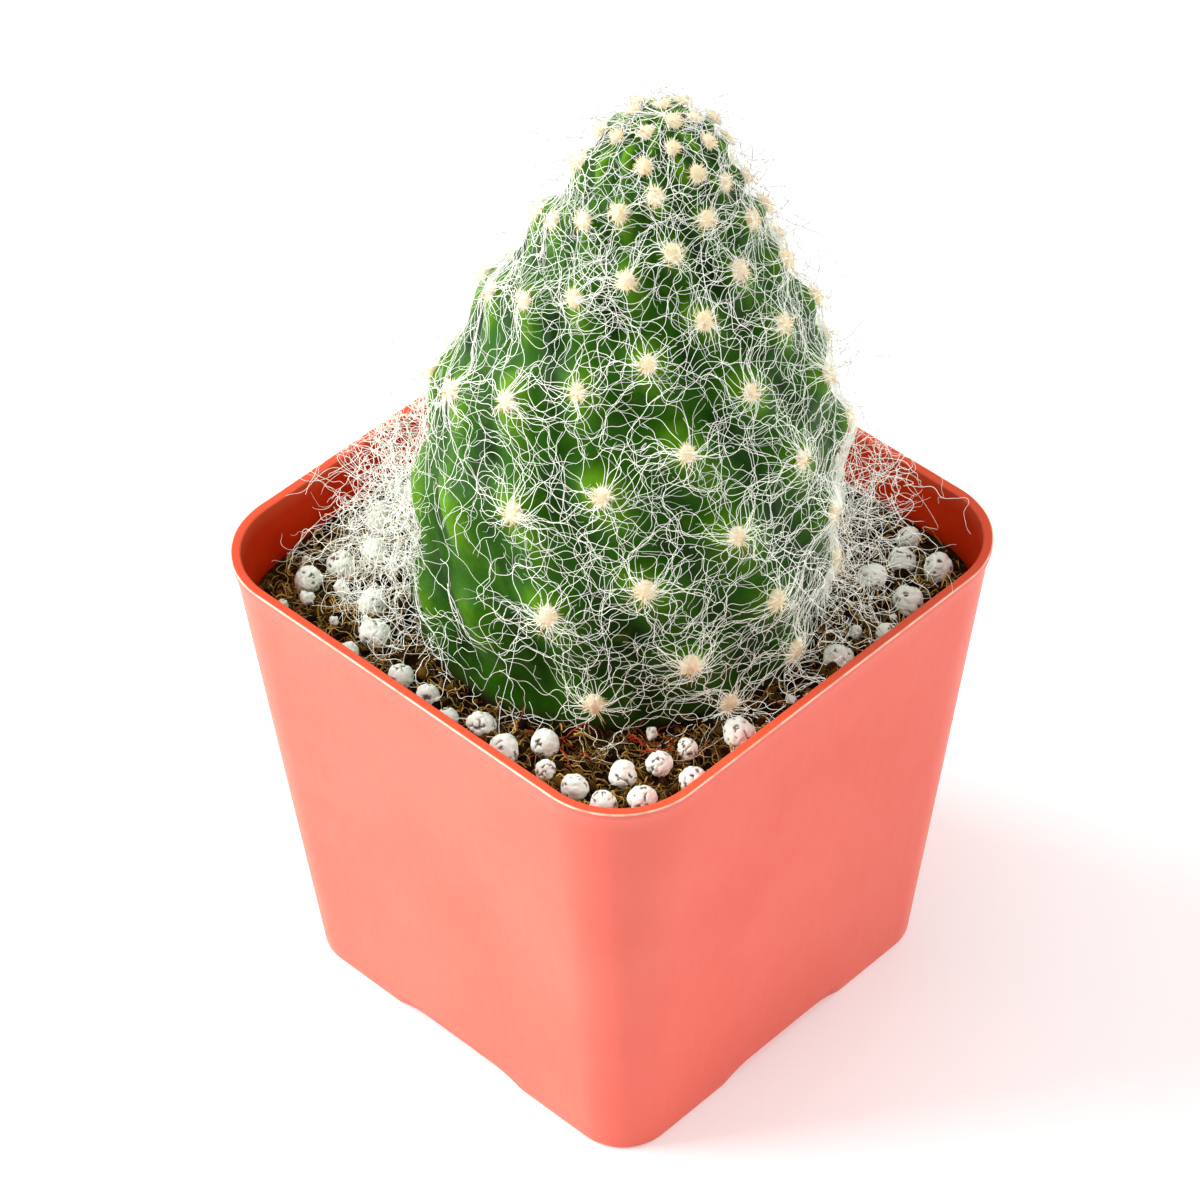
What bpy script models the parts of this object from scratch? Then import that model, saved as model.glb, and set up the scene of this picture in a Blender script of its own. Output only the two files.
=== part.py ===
"""Potted columnar cactus: square nursery pot, potting soil with perlite beads, ribbed stem.

Frame: metres, +Z up. The origin is the middle of the pot's footprint on the ground, and
the pot's four sides face +X, -X, +Y and -Y. The soil is cut to the stem's root, and every
perlite bead lies in a dimple of its own.
"""

import math

import bmesh
import bpy
from mathutils import Euler, Vector

MM = 0.001

# Fits between neighbouring solids; the root's is wider, because both sides are faceted
CLEARANCE = 0.3 * MM
ROOT_CLEARANCE = 0.4 * MM

# Pot: thin moulded square pot with drafted sides, standing on four corner pads
POT_HEIGHT = 60.5 * MM
POT_WALL = 0.9 * MM
POT_DRAFT = math.radians(5.8)
POT_TOP_CORNER = 10.0 * MM
POT_BASE_CORNER = 6.1 * MM
POT_BASE_EDGE = 0.5 * MM
LIP_PROUD = 0.25 * MM
LIP_HEIGHT = 1.3 * MM
LIP_ROUND = 0.3 * MM
PAD_HEIGHT = 1.5 * MM
FLOOR_THICKNESS = 1.1 * MM
CHANNEL_ROOF_WIDTH = 14.0 * MM
CHANNEL_FOOT_WIDTH = 21.0 * MM
DRAIN_DIAMETER = 6.5 * MM
DRAIN_REACH = 13.0 * MM

# Soil: fills the pot to a little below the lip
SOIL_DROP = 7.0 * MM
SOIL_RING = 6.9 * MM
SOIL_ROLL = 0.5 * MM
SOIL_ROLL_LENGTH = 16.0 * MM

# Stem: ribbed column with a blunt tip and a short buried root
STEM_RADIUS = 23.2 * MM
STEM_HEIGHT = 63.5 * MM
STEM_BASE = Vector((0.0, 0.6, 0.0)) * MM
STEM_LEAN = Vector((3.4, 4.0, 0.0)) * MM
ROOT_RADIUS = 7.0 * MM
ROOT_SHOULDER = 6.0 * MM
ROOT_DEPTH = 14.0 * MM
RIB_COUNT = 12
RIB_DEPTH = 1.5 * MM
RIB_FADE = 4.0 * MM
TUBERCLE_HEIGHT = 0.9 * MM
RIB_START = math.radians(-39.0)
RIB_TWIST = math.radians(14.0)
AREOLE_OFFSET = 5.0 / 12.0
AREOLE_REACH = 76.0 * MM
AREOLE_RATE = 0.157
AREOLE_FIRST = 0.63

# Stem's outline: share of its height, share of its radius
STEM_OUTLINE = (
    (0.00, 0.96), (0.12, 0.99), (0.25, 1.00), (0.37, 0.975), (0.50, 0.90), (0.62, 0.77),
    (0.74, 0.61), (0.85, 0.45), (0.93, 0.35), (0.98, 0.21), (1.00, 0.06),
)

# Perlite beads, round the stem from the -X, -Y corner: bearing from the stem in degrees,
# share of the way from the stem to the wall, and diameter in millimetres
BEADS = (
    (-138, 0.65, 3.3), (-142, 0.45, 3.5), (-147, 0.20, 3.4), (-130, 0.05, 3.5),
    (-119, 0.30, 3.8), (-117, 0.70, 2.6), (-104, 0.50, 3.1), (-95, 0.40, 3.2),
    (-84, 0.45, 2.6), (-80, 0.00, 3.4), (-71, 0.30, 3.8), (-64, 0.00, 3.3),
    (-61, 0.35, 2.6), (-55, 0.60, 3.3), (-49, 0.70, 3.3), (-42, 0.70, 3.3),
    (-44, 0.30, 3.3), (-37, 0.25, 3.1), (-31, 0.15, 2.6), (-32, 0.65, 3.3),
    (-18, 0.30, 3.7), (16, 0.25, 3.5), (28, 0.75, 2.9), (45, 0.20, 3.7),
    (38, 0.60, 3.7), (46, 0.85, 3.5), (51, 0.55, 3.4), (56, 0.95, 2.8),
    (72, 0.40, 3.3), (88, 0.50, 3.1), (103, 0.30, 3.5), (119, 0.60, 3.4),
    (131, 0.75, 3.6), (141, 0.35, 3.2), (137, 0.95, 2.8), (152, 0.50, 3.3),
    (167, 0.40, 3.1), (180, 0.55, 3.4), (-169, 0.30, 3.1), (-158, 0.60, 3.3),
)
BEAD_MARGIN = 1.0 * MM
BEAD_SPACING = 0.8 * MM
BEAD_RISE = 0.3
BEAD_SHAPES = 4
BEAD_DENT = 0.12
BEAD_TURN = Vector((1.3, 0.7, 2.1))

# Facets
CORNER_STEPS = 6
SIDE_STEPS = 6
SOIL_RINGS = 3
STEM_SEGMENTS = RIB_COUNT * 6
STEM_RINGS = 28
RING_CROWDING = 0.85
SETTLE_PASSES = 80

SOIL_LEVEL = POT_HEIGHT - SOIL_DROP
FLOOR_TOP = PAD_HEIGHT + FLOOR_THICKNESS


def clear_scene():
    """Remove every object, so that the script can be run again in the same file."""
    for item in list(bpy.data.objects):
        bpy.data.objects.remove(item, do_unlink=True)


def make_material(name, color, roughness):
    """Make a non-metallic Principled material."""
    material = bpy.data.materials.new(name)
    material.use_nodes = True
    shader = material.node_tree.nodes["Principled BSDF"]
    shader.inputs["Base Color"].default_value = (*color, 1.0)
    shader.inputs["Roughness"].default_value = roughness
    shader.inputs["Metallic"].default_value = 0.0
    return material


def add_object(name, bm, material, smooth_angle=None):
    """Turn a bmesh into a named object; round shapes are shaded smooth up to an angle."""
    mesh = bpy.data.meshes.new(name)
    bm.to_mesh(mesh)
    bm.free()
    if material:
        mesh.materials.append(material)
    if smooth_angle is not None:
        mesh.shade_smooth()
        mesh.set_sharp_from_angle(angle=smooth_angle)
    item = bpy.data.objects.new(name, mesh)
    bpy.context.scene.collection.objects.link(item)
    return item


def add_cutter(name, bm, target):
    """Cut a bmesh out of an object; the cutter stays as a hidden guide."""
    cutter = add_object(name, bm, None)
    cutter.hide_render = True
    cutter.display_type = "WIRE"
    cut = target.modifiers.new(name, "BOOLEAN")
    cut.operation = "DIFFERENCE"
    cut.solver = "EXACT"
    cut.object = cutter


def start_ring(bm, places):
    """Make a closed ring of vertices and edges."""
    ring = [bm.verts.new(place) for place in places]
    for first, second in zip(ring, ring[1:] + ring[:1]):
        bm.edges.new((first, second))
    return ring


def extrude_ring(bm, ring, places):
    """Extrude a ring of edges to new places and return the new ring in the same order."""
    edges = [bm.edges.get(pair) for pair in zip(ring, ring[1:] + ring[:1])]
    grown = bmesh.ops.extrude_edge_only(bm, edges=edges)["geom"]
    fresh = {item for item in grown if isinstance(item, bmesh.types.BMVert)}
    top = []
    for vert, place in zip(ring, places):
        above = next(edge.other_vert(vert) for edge in vert.link_edges
                     if edge.other_vert(vert) in fresh)
        above.co = place
        top.append(above)
    return top


def close_with_pole(bm, ring, place):
    """Close a ring with a fan of triangles to one point."""
    pole = bm.verts.new(place)
    for first, second in zip(ring, ring[1:] + ring[:1]):
        bm.faces.new((first, second, pole))


def loft(rings, tip=None):
    """Make a closed shell through rings of points, with flat caps or a last point as tip."""
    bm = bmesh.new()
    first = start_ring(bm, rings[0])
    last = first
    for places in rings[1:]:
        last = extrude_ring(bm, last, places)
    bm.faces.new(first)
    if tip is None:
        bm.faces.new(last)
    else:
        close_with_pole(bm, last, tip)
    bmesh.ops.recalc_face_normals(bm, faces=bm.faces)
    return bm


def pot_half_width(height):
    """Half the pot's outer width at a height; the sides lean out by the draft."""
    at_soil = STEM_RADIUS + SOIL_RING + POT_WALL
    return at_soil + (height - SOIL_LEVEL) * math.tan(POT_DRAFT)


def pot_corner_radius(height):
    """Outer corner radius of the pot at a height."""
    share = height / POT_HEIGHT
    return POT_BASE_CORNER + (POT_TOP_CORNER - POT_BASE_CORNER) * share


def rounded_square(half, corner, height):
    """Points round a square with round corners, counter-clockwise seen from above."""
    straight = half - corner
    points = []
    for turn in range(4):
        facing = turn * math.pi / 2.0
        along = Vector((-math.sin(facing), math.cos(facing), 0.0))
        outward = Vector((math.cos(facing), math.sin(facing), 0.0))
        for step in range(SIDE_STEPS):
            across = straight * (2.0 * step / SIDE_STEPS - 1.0)
            points.append(outward * half + along * across)
        centre = (outward + along) * straight
        for step in range(CORNER_STEPS):
            angle = facing + step / CORNER_STEPS * math.pi / 2.0
            points.append(centre + Vector((math.cos(angle), math.sin(angle), 0.0)) * corner)
    return [point + Vector((0.0, 0.0, height)) for point in points]


def pot_ring(offset, height):
    """Ring of points a given distance inside the pot's outer face at a height."""
    half = pot_half_width(height) - offset
    return rounded_square(half, pot_corner_radius(height) - offset, height)


def build_pot(material):
    """Moulded pot: outer face, rolled lip, inner face, floor, drainage channels and holes."""
    lip_start = POT_HEIGHT - LIP_HEIGHT
    rings = [
        pot_ring(POT_BASE_EDGE, 0.0),
        pot_ring(0.0, POT_BASE_EDGE),
        pot_ring(0.0, lip_start),
        pot_ring(-LIP_PROUD, lip_start + LIP_PROUD),
        pot_ring(-LIP_PROUD, POT_HEIGHT - LIP_ROUND),
        pot_ring(LIP_ROUND - LIP_PROUD, POT_HEIGHT),
        pot_ring(POT_WALL - LIP_ROUND, POT_HEIGHT),
        pot_ring(POT_WALL, POT_HEIGHT - LIP_ROUND),
        pot_ring(POT_WALL, FLOOR_TOP),
    ]
    pot = add_object("pot", loft(rings), material, smooth_angle=math.radians(40.0))
    for name, facing in (("channel_along_x", 0.0), ("channel_along_y", math.pi / 2.0)):
        add_cutter(name, channel_prism(facing), pot)
    add_cutter("drain_holes", drain_pins(), pot)


def channel_prism(facing):
    """Trapezoid bar that cuts a drainage channel across the pot's underside."""
    reach = pot_half_width(0.0) * 1.5
    slope = (CHANNEL_FOOT_WIDTH - CHANNEL_ROOF_WIDTH) / 2.0
    low_half = CHANNEL_FOOT_WIDTH / 2.0 + slope
    roof_half = CHANNEL_ROOF_WIDTH / 2.0
    section = ((-low_half, -PAD_HEIGHT), (low_half, -PAD_HEIGHT), (roof_half, PAD_HEIGHT),
               (-roof_half, PAD_HEIGHT))
    turn = Euler((0.0, 0.0, facing)).to_matrix()
    ends = [[turn @ Vector((end, across, height)) for across, height in section]
            for end in (-reach, reach)]
    return loft(ends)


def drain_pins():
    """Pins that cut one drain hole in the middle and one in each arm of the channels."""
    bm = bmesh.new()
    places = [Vector((0.0, 0.0, 0.0))]
    for turn in range(4):
        facing = turn * math.pi / 2.0
        places.append(Vector((math.cos(facing), math.sin(facing), 0.0)) * DRAIN_REACH)
    for place in places:
        pin = bmesh.ops.create_cone(bm, cap_ends=True, segments=20, depth=FLOOR_TOP * 3.0,
                                    radius1=DRAIN_DIAMETER / 2.0, radius2=DRAIN_DIAMETER / 2.0)
        bmesh.ops.translate(bm, verts=pin["verts"], vec=place)
    return bm


def outline_radius(share):
    """Stem's radius as a share of its widest, from its outline, with smooth slopes."""
    points = STEM_OUTLINE
    last = len(points) - 1
    index = max(i for i in range(last) if points[i][0] <= share or i == 0)
    (x0, y0), (x1, y1) = points[index], points[index + 1]
    before = points[max(index - 1, 0)]
    after = points[min(index + 2, last)]
    slope0 = (y1 - before[1]) / (x1 - before[0])
    slope1 = (after[1] - y0) / (after[0] - x0)
    width = x1 - x0
    t = min(max((share - x0) / width, 0.0), 1.0)
    return ((2 * t**3 - 3 * t**2 + 1) * y0 + (t**3 - 2 * t**2 + t) * width * slope0
            + (3 * t**2 - 2 * t**3) * y1 + (t**3 - t**2) * width * slope1)


def stem_centre(height):
    """Middle of the stem at a height above the soil's level; it leans only above it."""
    lean = STEM_LEAN * max(height, 0.0) / STEM_HEIGHT
    return STEM_BASE + lean + Vector((0.0, 0.0, SOIL_LEVEL + height))


def areole_count(height):
    """Areoles passed along a rib up to a height, as a number with a fraction."""
    share = min(max(height, 0.0) / AREOLE_REACH, 0.95)
    return AREOLE_FIRST + math.atanh(share) / AREOLE_RATE


def stem_radius(height, bearing):
    """Stem's radius: its outline, less the grooves, plus a tubercle at each areole."""
    share = height / STEM_HEIGHT
    plain = STEM_RADIUS * outline_radius(share)
    passed = areole_count(height)
    spacing = 2.0 * math.pi / RIB_COUNT
    turned = (bearing - RIB_START + RIB_TWIST * passed) / spacing
    rib = round(turned)
    crest = 0.5 + 0.5 * math.cos(2.0 * math.pi * (turned - rib))
    swell = 0.5 + 0.5 * math.cos(2.0 * math.pi * (passed - rib * AREOLE_OFFSET))
    fade = min(height / RIB_FADE, 1.0) * math.sqrt(max(plain / STEM_RADIUS, 0.0))
    groove = RIB_DEPTH * (1.0 - crest)
    waist = TUBERCLE_HEIGHT * (1.0 - swell) * crest
    return plain - fade * (groove + waist)


def stem_ring(height):
    """Ring of points round the stem at a height above the soil's level."""
    places = []
    for step in range(STEM_SEGMENTS):
        bearing = 2.0 * math.pi * step / STEM_SEGMENTS
        radius = stem_radius(height, bearing)
        places.append(stem_centre(height) + polar(bearing, radius))
    return places


def polar(bearing, radius):
    """Level vector of a length at a bearing."""
    return Vector((math.cos(bearing), math.sin(bearing), 0.0)) * radius


def root_outline(gap):
    """Radius and depth of the buried root, from the soil's level down, grown by a gap."""
    foot = STEM_RADIUS * STEM_OUTLINE[0][1]
    outline = []
    for step in range(5):
        angle = step / 4.0 * math.pi / 2.0
        radius = ROOT_RADIUS + (foot - ROOT_RADIUS) * math.cos(angle)
        outline.append((radius + gap, -ROOT_SHOULDER * math.sin(angle) - gap))
    outline.append((ROOT_RADIUS * 0.5 + gap, -ROOT_DEPTH - gap))
    return outline


def build_stem(material):
    """Stem and buried root, grown as one piece."""
    turns = [2.0 * math.pi * step / STEM_SEGMENTS for step in range(STEM_SEGMENTS)]
    root = []
    for radius, depth in reversed(root_outline(0.0)[1:]):
        middle = STEM_BASE + Vector((0.0, 0.0, SOIL_LEVEL + depth))
        root.append([middle + polar(bearing, radius) for bearing in turns])
    rings = root
    for step in range(STEM_RINGS):
        rise = math.sin(step / STEM_RINGS * math.pi / 2.0) ** RING_CROWDING
        rings.append(stem_ring(STEM_HEIGHT * rise))
    bm = loft(rings, tip=stem_centre(STEM_HEIGHT))
    add_object("stem", bm, material, smooth_angle=math.radians(60.0))


def soil_height(place):
    """Height of the soil's surface: low rolls that die out at the stem."""
    from_stem = (place - STEM_BASE).to_2d().length - STEM_RADIUS
    calm = min(max(from_stem / SOIL_RING, 0.0), 1.0)
    along = 2.0 * math.pi / SOIL_ROLL_LENGTH
    wave = math.sin(place.x * along + 0.6) * math.cos(place.y * along - 0.4)
    return SOIL_LEVEL + SOIL_ROLL * calm * wave


def build_soil(material, beads):
    """Soil: fills the pot, with a socket for the root and a dimple for each bead."""
    offset = POT_WALL + CLEARANCE
    low = pot_ring(offset, FLOOR_TOP + CLEARANCE)
    edge = pot_ring(offset, SOIL_LEVEL)
    bearings = [math.atan2(*(place - STEM_BASE).to_2d().yx) for place in edge]
    rings = [low, edge]
    socket = root_outline(ROOT_CLEARANCE)
    mouth = [STEM_BASE + polar(bearing, socket[0][0]) for bearing in bearings]
    for step in range(1, SOIL_RINGS + 1):
        share = step / SOIL_RINGS
        rings.append([outer.lerp(inner, share) for outer, inner in zip(edge, mouth)])
    for ring in rings[1:]:
        for place in ring:
            place.z = soil_height(place)
    for radius, depth in socket[1:]:
        level = Vector((0.0, 0.0, SOIL_LEVEL + depth))
        rings.append([STEM_BASE + level + polar(bearing, radius) for bearing in bearings])
    soil = add_object("soil", loft(rings), material)
    dimples = bmesh.new()
    for bead in beads:
        grown = 1.0 + CLEARANCE / (bead["radius"] * (1.0 - BEAD_DENT))
        add_bead_shape(dimples, bead, grown)
    add_cutter("bead_dimples", dimples, soil)


def settle_beads():
    """Lay the beads between stem and wall and push neighbours apart until none touch."""
    inner = pot_half_width(SOIL_LEVEL) - POT_WALL
    corner = pot_corner_radius(SOIL_LEVEL) - POT_WALL
    beads = []
    for number, (bearing, share, diameter) in enumerate(BEADS):
        radius = diameter * MM / 2.0
        low = STEM_RADIUS + BEAD_MARGIN + radius
        ray = polar(math.radians(bearing), 1.0)
        wall = inner / max(abs(ray.x), abs(ray.y))
        wall = min(wall, inner * math.sqrt(2.0) - corner * (math.sqrt(2.0) - 1.0))
        high = wall - BEAD_MARGIN - radius
        beads.append({"number": number, "radius": radius,
                      "place": STEM_BASE + ray * (low + (high - low) * share)})
    for _ in range(SETTLE_PASSES):
        for index, bead in enumerate(beads):
            for other in beads[index + 1:]:
                push_apart(bead, other)
        for bead in beads:
            keep_in_ring(bead, inner, corner)
    for bead in beads:
        bead["place"].z = soil_height(bead["place"]) + BEAD_RISE * bead["radius"]
    return beads


def push_apart(bead, other):
    """Move two beads apart, each by half, until they are a spacing apart."""
    between = other["place"] - bead["place"]
    short = bead["radius"] + other["radius"] + BEAD_SPACING - between.length
    if short > 0.0:
        step = between.normalized() * (short / 2.0)
        bead["place"] -= step
        other["place"] += step


def keep_in_ring(bead, inner, corner):
    """Keep a bead a margin away from the stem and from the pot's wall."""
    reach = BEAD_MARGIN + bead["radius"]
    from_stem = bead["place"] - STEM_BASE
    if from_stem.length < STEM_RADIUS + reach:
        bead["place"] = STEM_BASE + from_stem.normalized() * (STEM_RADIUS + reach)
    limit = inner - reach
    rounding = max(corner - reach, 0.0)
    place = bead["place"]
    over = Vector((abs(place.x), abs(place.y))) - Vector((1.0, 1.0)) * (limit - rounding)
    if min(over) > 0.0 and over.length > rounding:
        over = over.normalized() * rounding
    over = Vector(min(value, rounding) for value in over)
    kept = over + Vector((1.0, 1.0)) * (limit - rounding)
    bead["place"] = Vector((math.copysign(kept.x, place.x), math.copysign(kept.y, place.y), 0.0))


def dent(direction, shape):
    """How far a bead's surface sinks along a direction, as a share of its radius."""
    lumps = math.sin(direction.x * 3.1 + shape * 1.7) * math.cos(direction.y * 2.7 - shape)
    lumps += 0.6 * math.sin(direction.z * 4.3 + direction.x * 2.2 + shape * 2.9)
    return BEAD_DENT * (0.5 + lumps / 3.2)


def add_bead_shape(bm, bead, grown):
    """Add one lumpy bead to a bmesh, in place, grown by a factor."""
    shape = bead["number"] % BEAD_SHAPES
    ball = bmesh.ops.create_icosphere(bm, subdivisions=2, radius=1.0)
    turn = Euler(BEAD_TURN * bead["number"]).to_matrix()
    for vert in ball["verts"]:
        local = vert.co * (1.0 - dent(vert.co, shape)) * bead["radius"] * grown
        vert.co = turn @ local + bead["place"]


def build_beads(material, beads):
    """Every perlite bead as an object of its own."""
    for bead in beads:
        bm = bmesh.new()
        add_bead_shape(bm, bead, 1.0)
        name = f"perlite_bead_{bead['number'] + 1:02d}"
        add_object(name, bm, material, smooth_angle=math.radians(60.0))


def main():
    """Build the pot, the soil, the beads and the stem."""
    clear_scene()
    pot_plastic = make_material("pot_plastic", (0.86, 0.20, 0.13), 0.42)
    soil_peat = make_material("soil_peat", (0.055, 0.032, 0.016), 0.95)
    perlite = make_material("perlite", (0.82, 0.80, 0.72), 0.85)
    stem_skin = make_material("stem_skin", (0.07, 0.21, 0.035), 0.5)
    beads = settle_beads()
    build_pot(pot_plastic)
    build_soil(soil_peat, beads)
    build_beads(perlite, beads)
    build_stem(stem_skin)


main()
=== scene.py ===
"""Looks of a woolly columnar cactus in its square nursery pot.

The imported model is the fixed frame. Every piece here stands for one of its nodes: a fine
moulded pot, a crumbly bed of peat with coir fibre, pitted perlite beads, and the ribbed stem
with its areoles, spines and cobweb of wool. Lengths are in metres, angles in radians.
"""

import logging
import math
from dataclasses import dataclass, field
from enum import Enum
from typing import Any, Sequence

import bmesh
import bpy
import numpy as np
from mathutils import Matrix, Vector, noise


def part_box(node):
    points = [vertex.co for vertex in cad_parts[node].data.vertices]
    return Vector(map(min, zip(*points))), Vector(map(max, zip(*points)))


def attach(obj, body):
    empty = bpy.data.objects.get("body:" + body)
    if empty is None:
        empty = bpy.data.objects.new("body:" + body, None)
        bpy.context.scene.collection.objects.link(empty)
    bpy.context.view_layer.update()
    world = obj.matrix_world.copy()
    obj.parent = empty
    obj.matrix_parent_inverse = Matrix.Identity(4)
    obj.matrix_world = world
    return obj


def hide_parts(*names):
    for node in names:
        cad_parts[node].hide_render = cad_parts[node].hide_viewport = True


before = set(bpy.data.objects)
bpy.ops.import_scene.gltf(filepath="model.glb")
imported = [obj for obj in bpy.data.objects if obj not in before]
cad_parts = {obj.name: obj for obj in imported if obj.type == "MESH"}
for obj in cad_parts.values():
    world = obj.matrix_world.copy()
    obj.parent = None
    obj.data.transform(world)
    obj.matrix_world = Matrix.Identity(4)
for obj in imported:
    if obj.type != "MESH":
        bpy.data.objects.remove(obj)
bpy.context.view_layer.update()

MM = 0.001
TURN = 2.0 * math.pi
BODY = "root"
SAME_PLACE = 1e-7
TINY = 1e-9
log = logging.getLogger("cactus")

# a place, or rows of places, directions or numbers
Place = np.ndarray
Colour = tuple[float, float, float]
Rng = np.random.Generator
Pair = tuple[float, float]


class Slot(Enum):
    """The record's material slots."""

    POT = "pot_plastic"
    SOIL = "soil_peat"
    STEM = "stem_skin"
    BEAD = "perlite"


# ---------------------------------------------------------------- shader building


class Value:
    """A number socket on which Python's operators add Math nodes."""

    def __init__(self, tree: "ShaderTree", socket: bpy.types.NodeSocket) -> None:
        """Wrap one output socket of a tree."""
        self.tree = tree
        self.socket = socket

    def _math(self, operation: str, *values: Any) -> "Value":
        """Add one Math node.

        Args:
            operation: the node's operation.
            values: its inputs in order, numbers or Values.

        Returns:
            The node's result.
        """
        inputs = dict(enumerate(values))
        return self.tree.value("ShaderNodeMath", {"operation": operation}, inputs)

    def __add__(self, other: Any) -> "Value":
        """Sum."""
        return self._math("ADD", self, other)

    def __radd__(self, other: Any) -> "Value":
        """Sum with a number on the left."""
        return self._math("ADD", other, self)

    def __mul__(self, other: Any) -> "Value":
        """Product."""
        return self._math("MULTIPLY", self, other)

    def __rmul__(self, other: Any) -> "Value":
        """Product with a number on the left."""
        return self._math("MULTIPLY", other, self)

    def ramp(self, low: float, high: float) -> "Value":
        """Map low..high to 0..1 with soft ends, held outside."""
        settings = {"interpolation_type": "SMOOTHSTEP"}
        return self.tree.value("ShaderNodeMapRange", settings, {0: self, 1: low, 2: high})


class ShaderTree:
    """One material and the one way in which its nodes are made."""

    def __init__(self, name: str, **constants: Any) -> None:
        """Start a Principled material.

        Args:
            name: the material's name.
            constants: shader inputs that are the same all over, with _ for each space.
        """
        self.material = bpy.data.materials.new(name)
        self.material.use_nodes = True
        self.nodes = self.material.node_tree.nodes
        self.links = self.material.node_tree.links
        self.shader = self.nodes["Principled BSDF"]
        for label, value in constants.items():
            self.shader.inputs[label.replace("_", " ")].default_value = value

    def node(self, kind: str, settings: dict[str, Any], inputs: dict[Any, Any]) -> bpy.types.Node:
        """Add one node.

        Args:
            kind: the node's type.
            settings: its properties, set before its inputs.
            inputs: input names or numbers, with numbers, colours, Values or sockets.

        Returns:
            The new node.
        """
        made = self.nodes.new(kind)
        for label, value in settings.items():
            setattr(made, label, value)
        for label, value in inputs.items():
            if isinstance(value, Value):
                value = value.socket
            if isinstance(value, bpy.types.NodeSocket):
                self.links.new(value, made.inputs[label])
            else:
                made.inputs[label].default_value = value
        return made

    def value(self, kind: str, settings: dict[str, Any], inputs: dict[Any, Any],
              output: int | str = 0) -> Value:
        """Add one node and wrap one of its number outputs."""
        return Value(self, self.node(kind, settings, inputs).outputs[output])

    def place(self) -> bpy.types.NodeSocket:
        """Object coordinates."""
        return self.node("ShaderNodeTexCoord", {}, {}).outputs["Object"]

    def attribute(self, name: str) -> Value:
        """A number stored on the piece's mesh."""
        return self.value("ShaderNodeAttribute", {"attribute_name": name}, {}, "Fac")

    def noise(self, size: float, detail: float = 3.0, rough: float = 0.55,
              stretch: Sequence[float] = (1.0, 1.0, 1.0)) -> Value:
        """Cloudy noise on Object coordinates.

        Args:
            size: width of one cloud in metres.
            detail: octaves.
            rough: share that each octave keeps.
            stretch: the pattern's scale along each axis.

        Returns:
            The noise, near 0.5 on average.
        """
        spread = self.node("ShaderNodeMapping", {}, {"Vector": self.place(), "Scale": stretch})
        inputs = {"Vector": spread.outputs[0], "Scale": 1.0 / size, "Detail": detail,
                  "Roughness": rough}
        return self.value("ShaderNodeTexNoise", {}, inputs, "Fac")

    def cells(self, size: float) -> Value:
        """Distance from the nearest point of a scatter, about 0 to 1."""
        inputs = {"Vector": self.place(), "Scale": 1.0 / size}
        return self.value("ShaderNodeTexVoronoi", {}, inputs, "Distance")

    def mix(self, share: Any, low: Any, high: Any) -> bpy.types.NodeSocket:
        """Mix two colours by a share."""
        return self.node("ShaderNodeMix", {"data_type": "RGBA", "clamp_factor": True},
                         {0: share, 6: low, 7: high}).outputs[2]

    def colour(self, share: Value,
               stops: Sequence[tuple[float, Colour]]) -> bpy.types.NodeSocket:
        """Run a number through a chain of colours.

        Args:
            share: the number.
            stops: places and colours, in rising order.

        Returns:
            The colour.
        """
        (place, found), *rest = stops
        result: Any = rgba(found)
        for after, shade in rest:
            result = self.mix(share.ramp(place, after), result, rgba(shade))
            place = after
        return result

    def feed(self, **inputs: Any) -> None:
        """Link what changes over the surface to the shader.

        Args:
            inputs: Values or colours by input name, with _ for each space.
        """
        for label, value in inputs.items():
            socket = value.socket if isinstance(value, Value) else value
            self.links.new(socket, self.shader.inputs[label.replace("_", " ")])

    def bump(self, *layers: tuple[Value, float]) -> None:
        """Stack bumps on the shader's normal.

        Args:
            layers: each a height between 0 and 1, and how deep it is in metres.
        """
        normal = None
        for height, depth in layers:
            inputs = {"Height": height, "Distance": depth, "Strength": 1.0}
            if normal is not None:
                inputs["Normal"] = normal
            normal = self.node("ShaderNodeBump", {}, inputs).outputs[0]
        self.links.new(normal, self.shader.inputs["Normal"])


def rgba(colour: Colour) -> tuple[float, ...]:
    """A colour with an alpha of 1."""
    return (*colour, 1.0)


# ---------------------------------------------------------------- finishes


@dataclass(frozen=True)
class PotPlastic:
    """Coral injection-moulded plastic with faint flow clouds, scuffs and specks of dust, a deeper
    red on the rim as painted shade and a pale painted highlight on the lip's outer edge.
    """

    name: str
    light: Colour
    deep: Colour
    dust: Colour
    dusty: float
    gloss: float
    roughness: float
    rim: Colour = (0.80, 0.085, 0.032)
    painted_highlight: Colour = (1.0, 0.60, 0.46)

    def material(self) -> bpy.types.Material:
        """Make the material.

        Returns:
            The material.
        """
        tree = ShaderTree(self.name, Metallic=0.0, IOR=1.5, Specular_IOR_Level=self.gloss)
        clouds = tree.noise(18 * MM, 4.0)
        body = tree.mix(clouds.ramp(0.35, 0.65), rgba(self.light), rgba(self.deep))
        grit = tree.noise(1.1 * MM, 3.0).ramp(0.60, 0.74)
        specks = grit * tree.noise(6 * MM, 2.0).ramp(0.45, 0.7)
        body = tree.mix(specks * self.dusty, body, rgba(self.dust))
        # The lip's flat top and inner rounding are painted a deeper red than the wall: painted
        # shade.
        body = tree.mix(tree.attribute("rim"), body, rgba(self.rim))
        # A pale line on the lip's outer rounding, broken up by noise: painted highlight.
        painted_highlight = tree.attribute("edge") * (0.5 + 0.5 * tree.noise(2.5 * MM, 2.0).ramp(0.35, 0.6))
        body = tree.mix(painted_highlight, body, rgba(self.painted_highlight))
        scuffs = tree.noise(0.9 * MM, 2.0, stretch=(1.0, 1.0, 0.25)).ramp(0.3, 0.8)
        tree.feed(Base_Color=body, Roughness=self.roughness + 0.12 * clouds + 0.06 * scuffs)
        tree.bump((tree.noise(0.35 * MM, 2.0), 0.006 * MM), (clouds, 0.05 * MM))
        return tree.material


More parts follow.
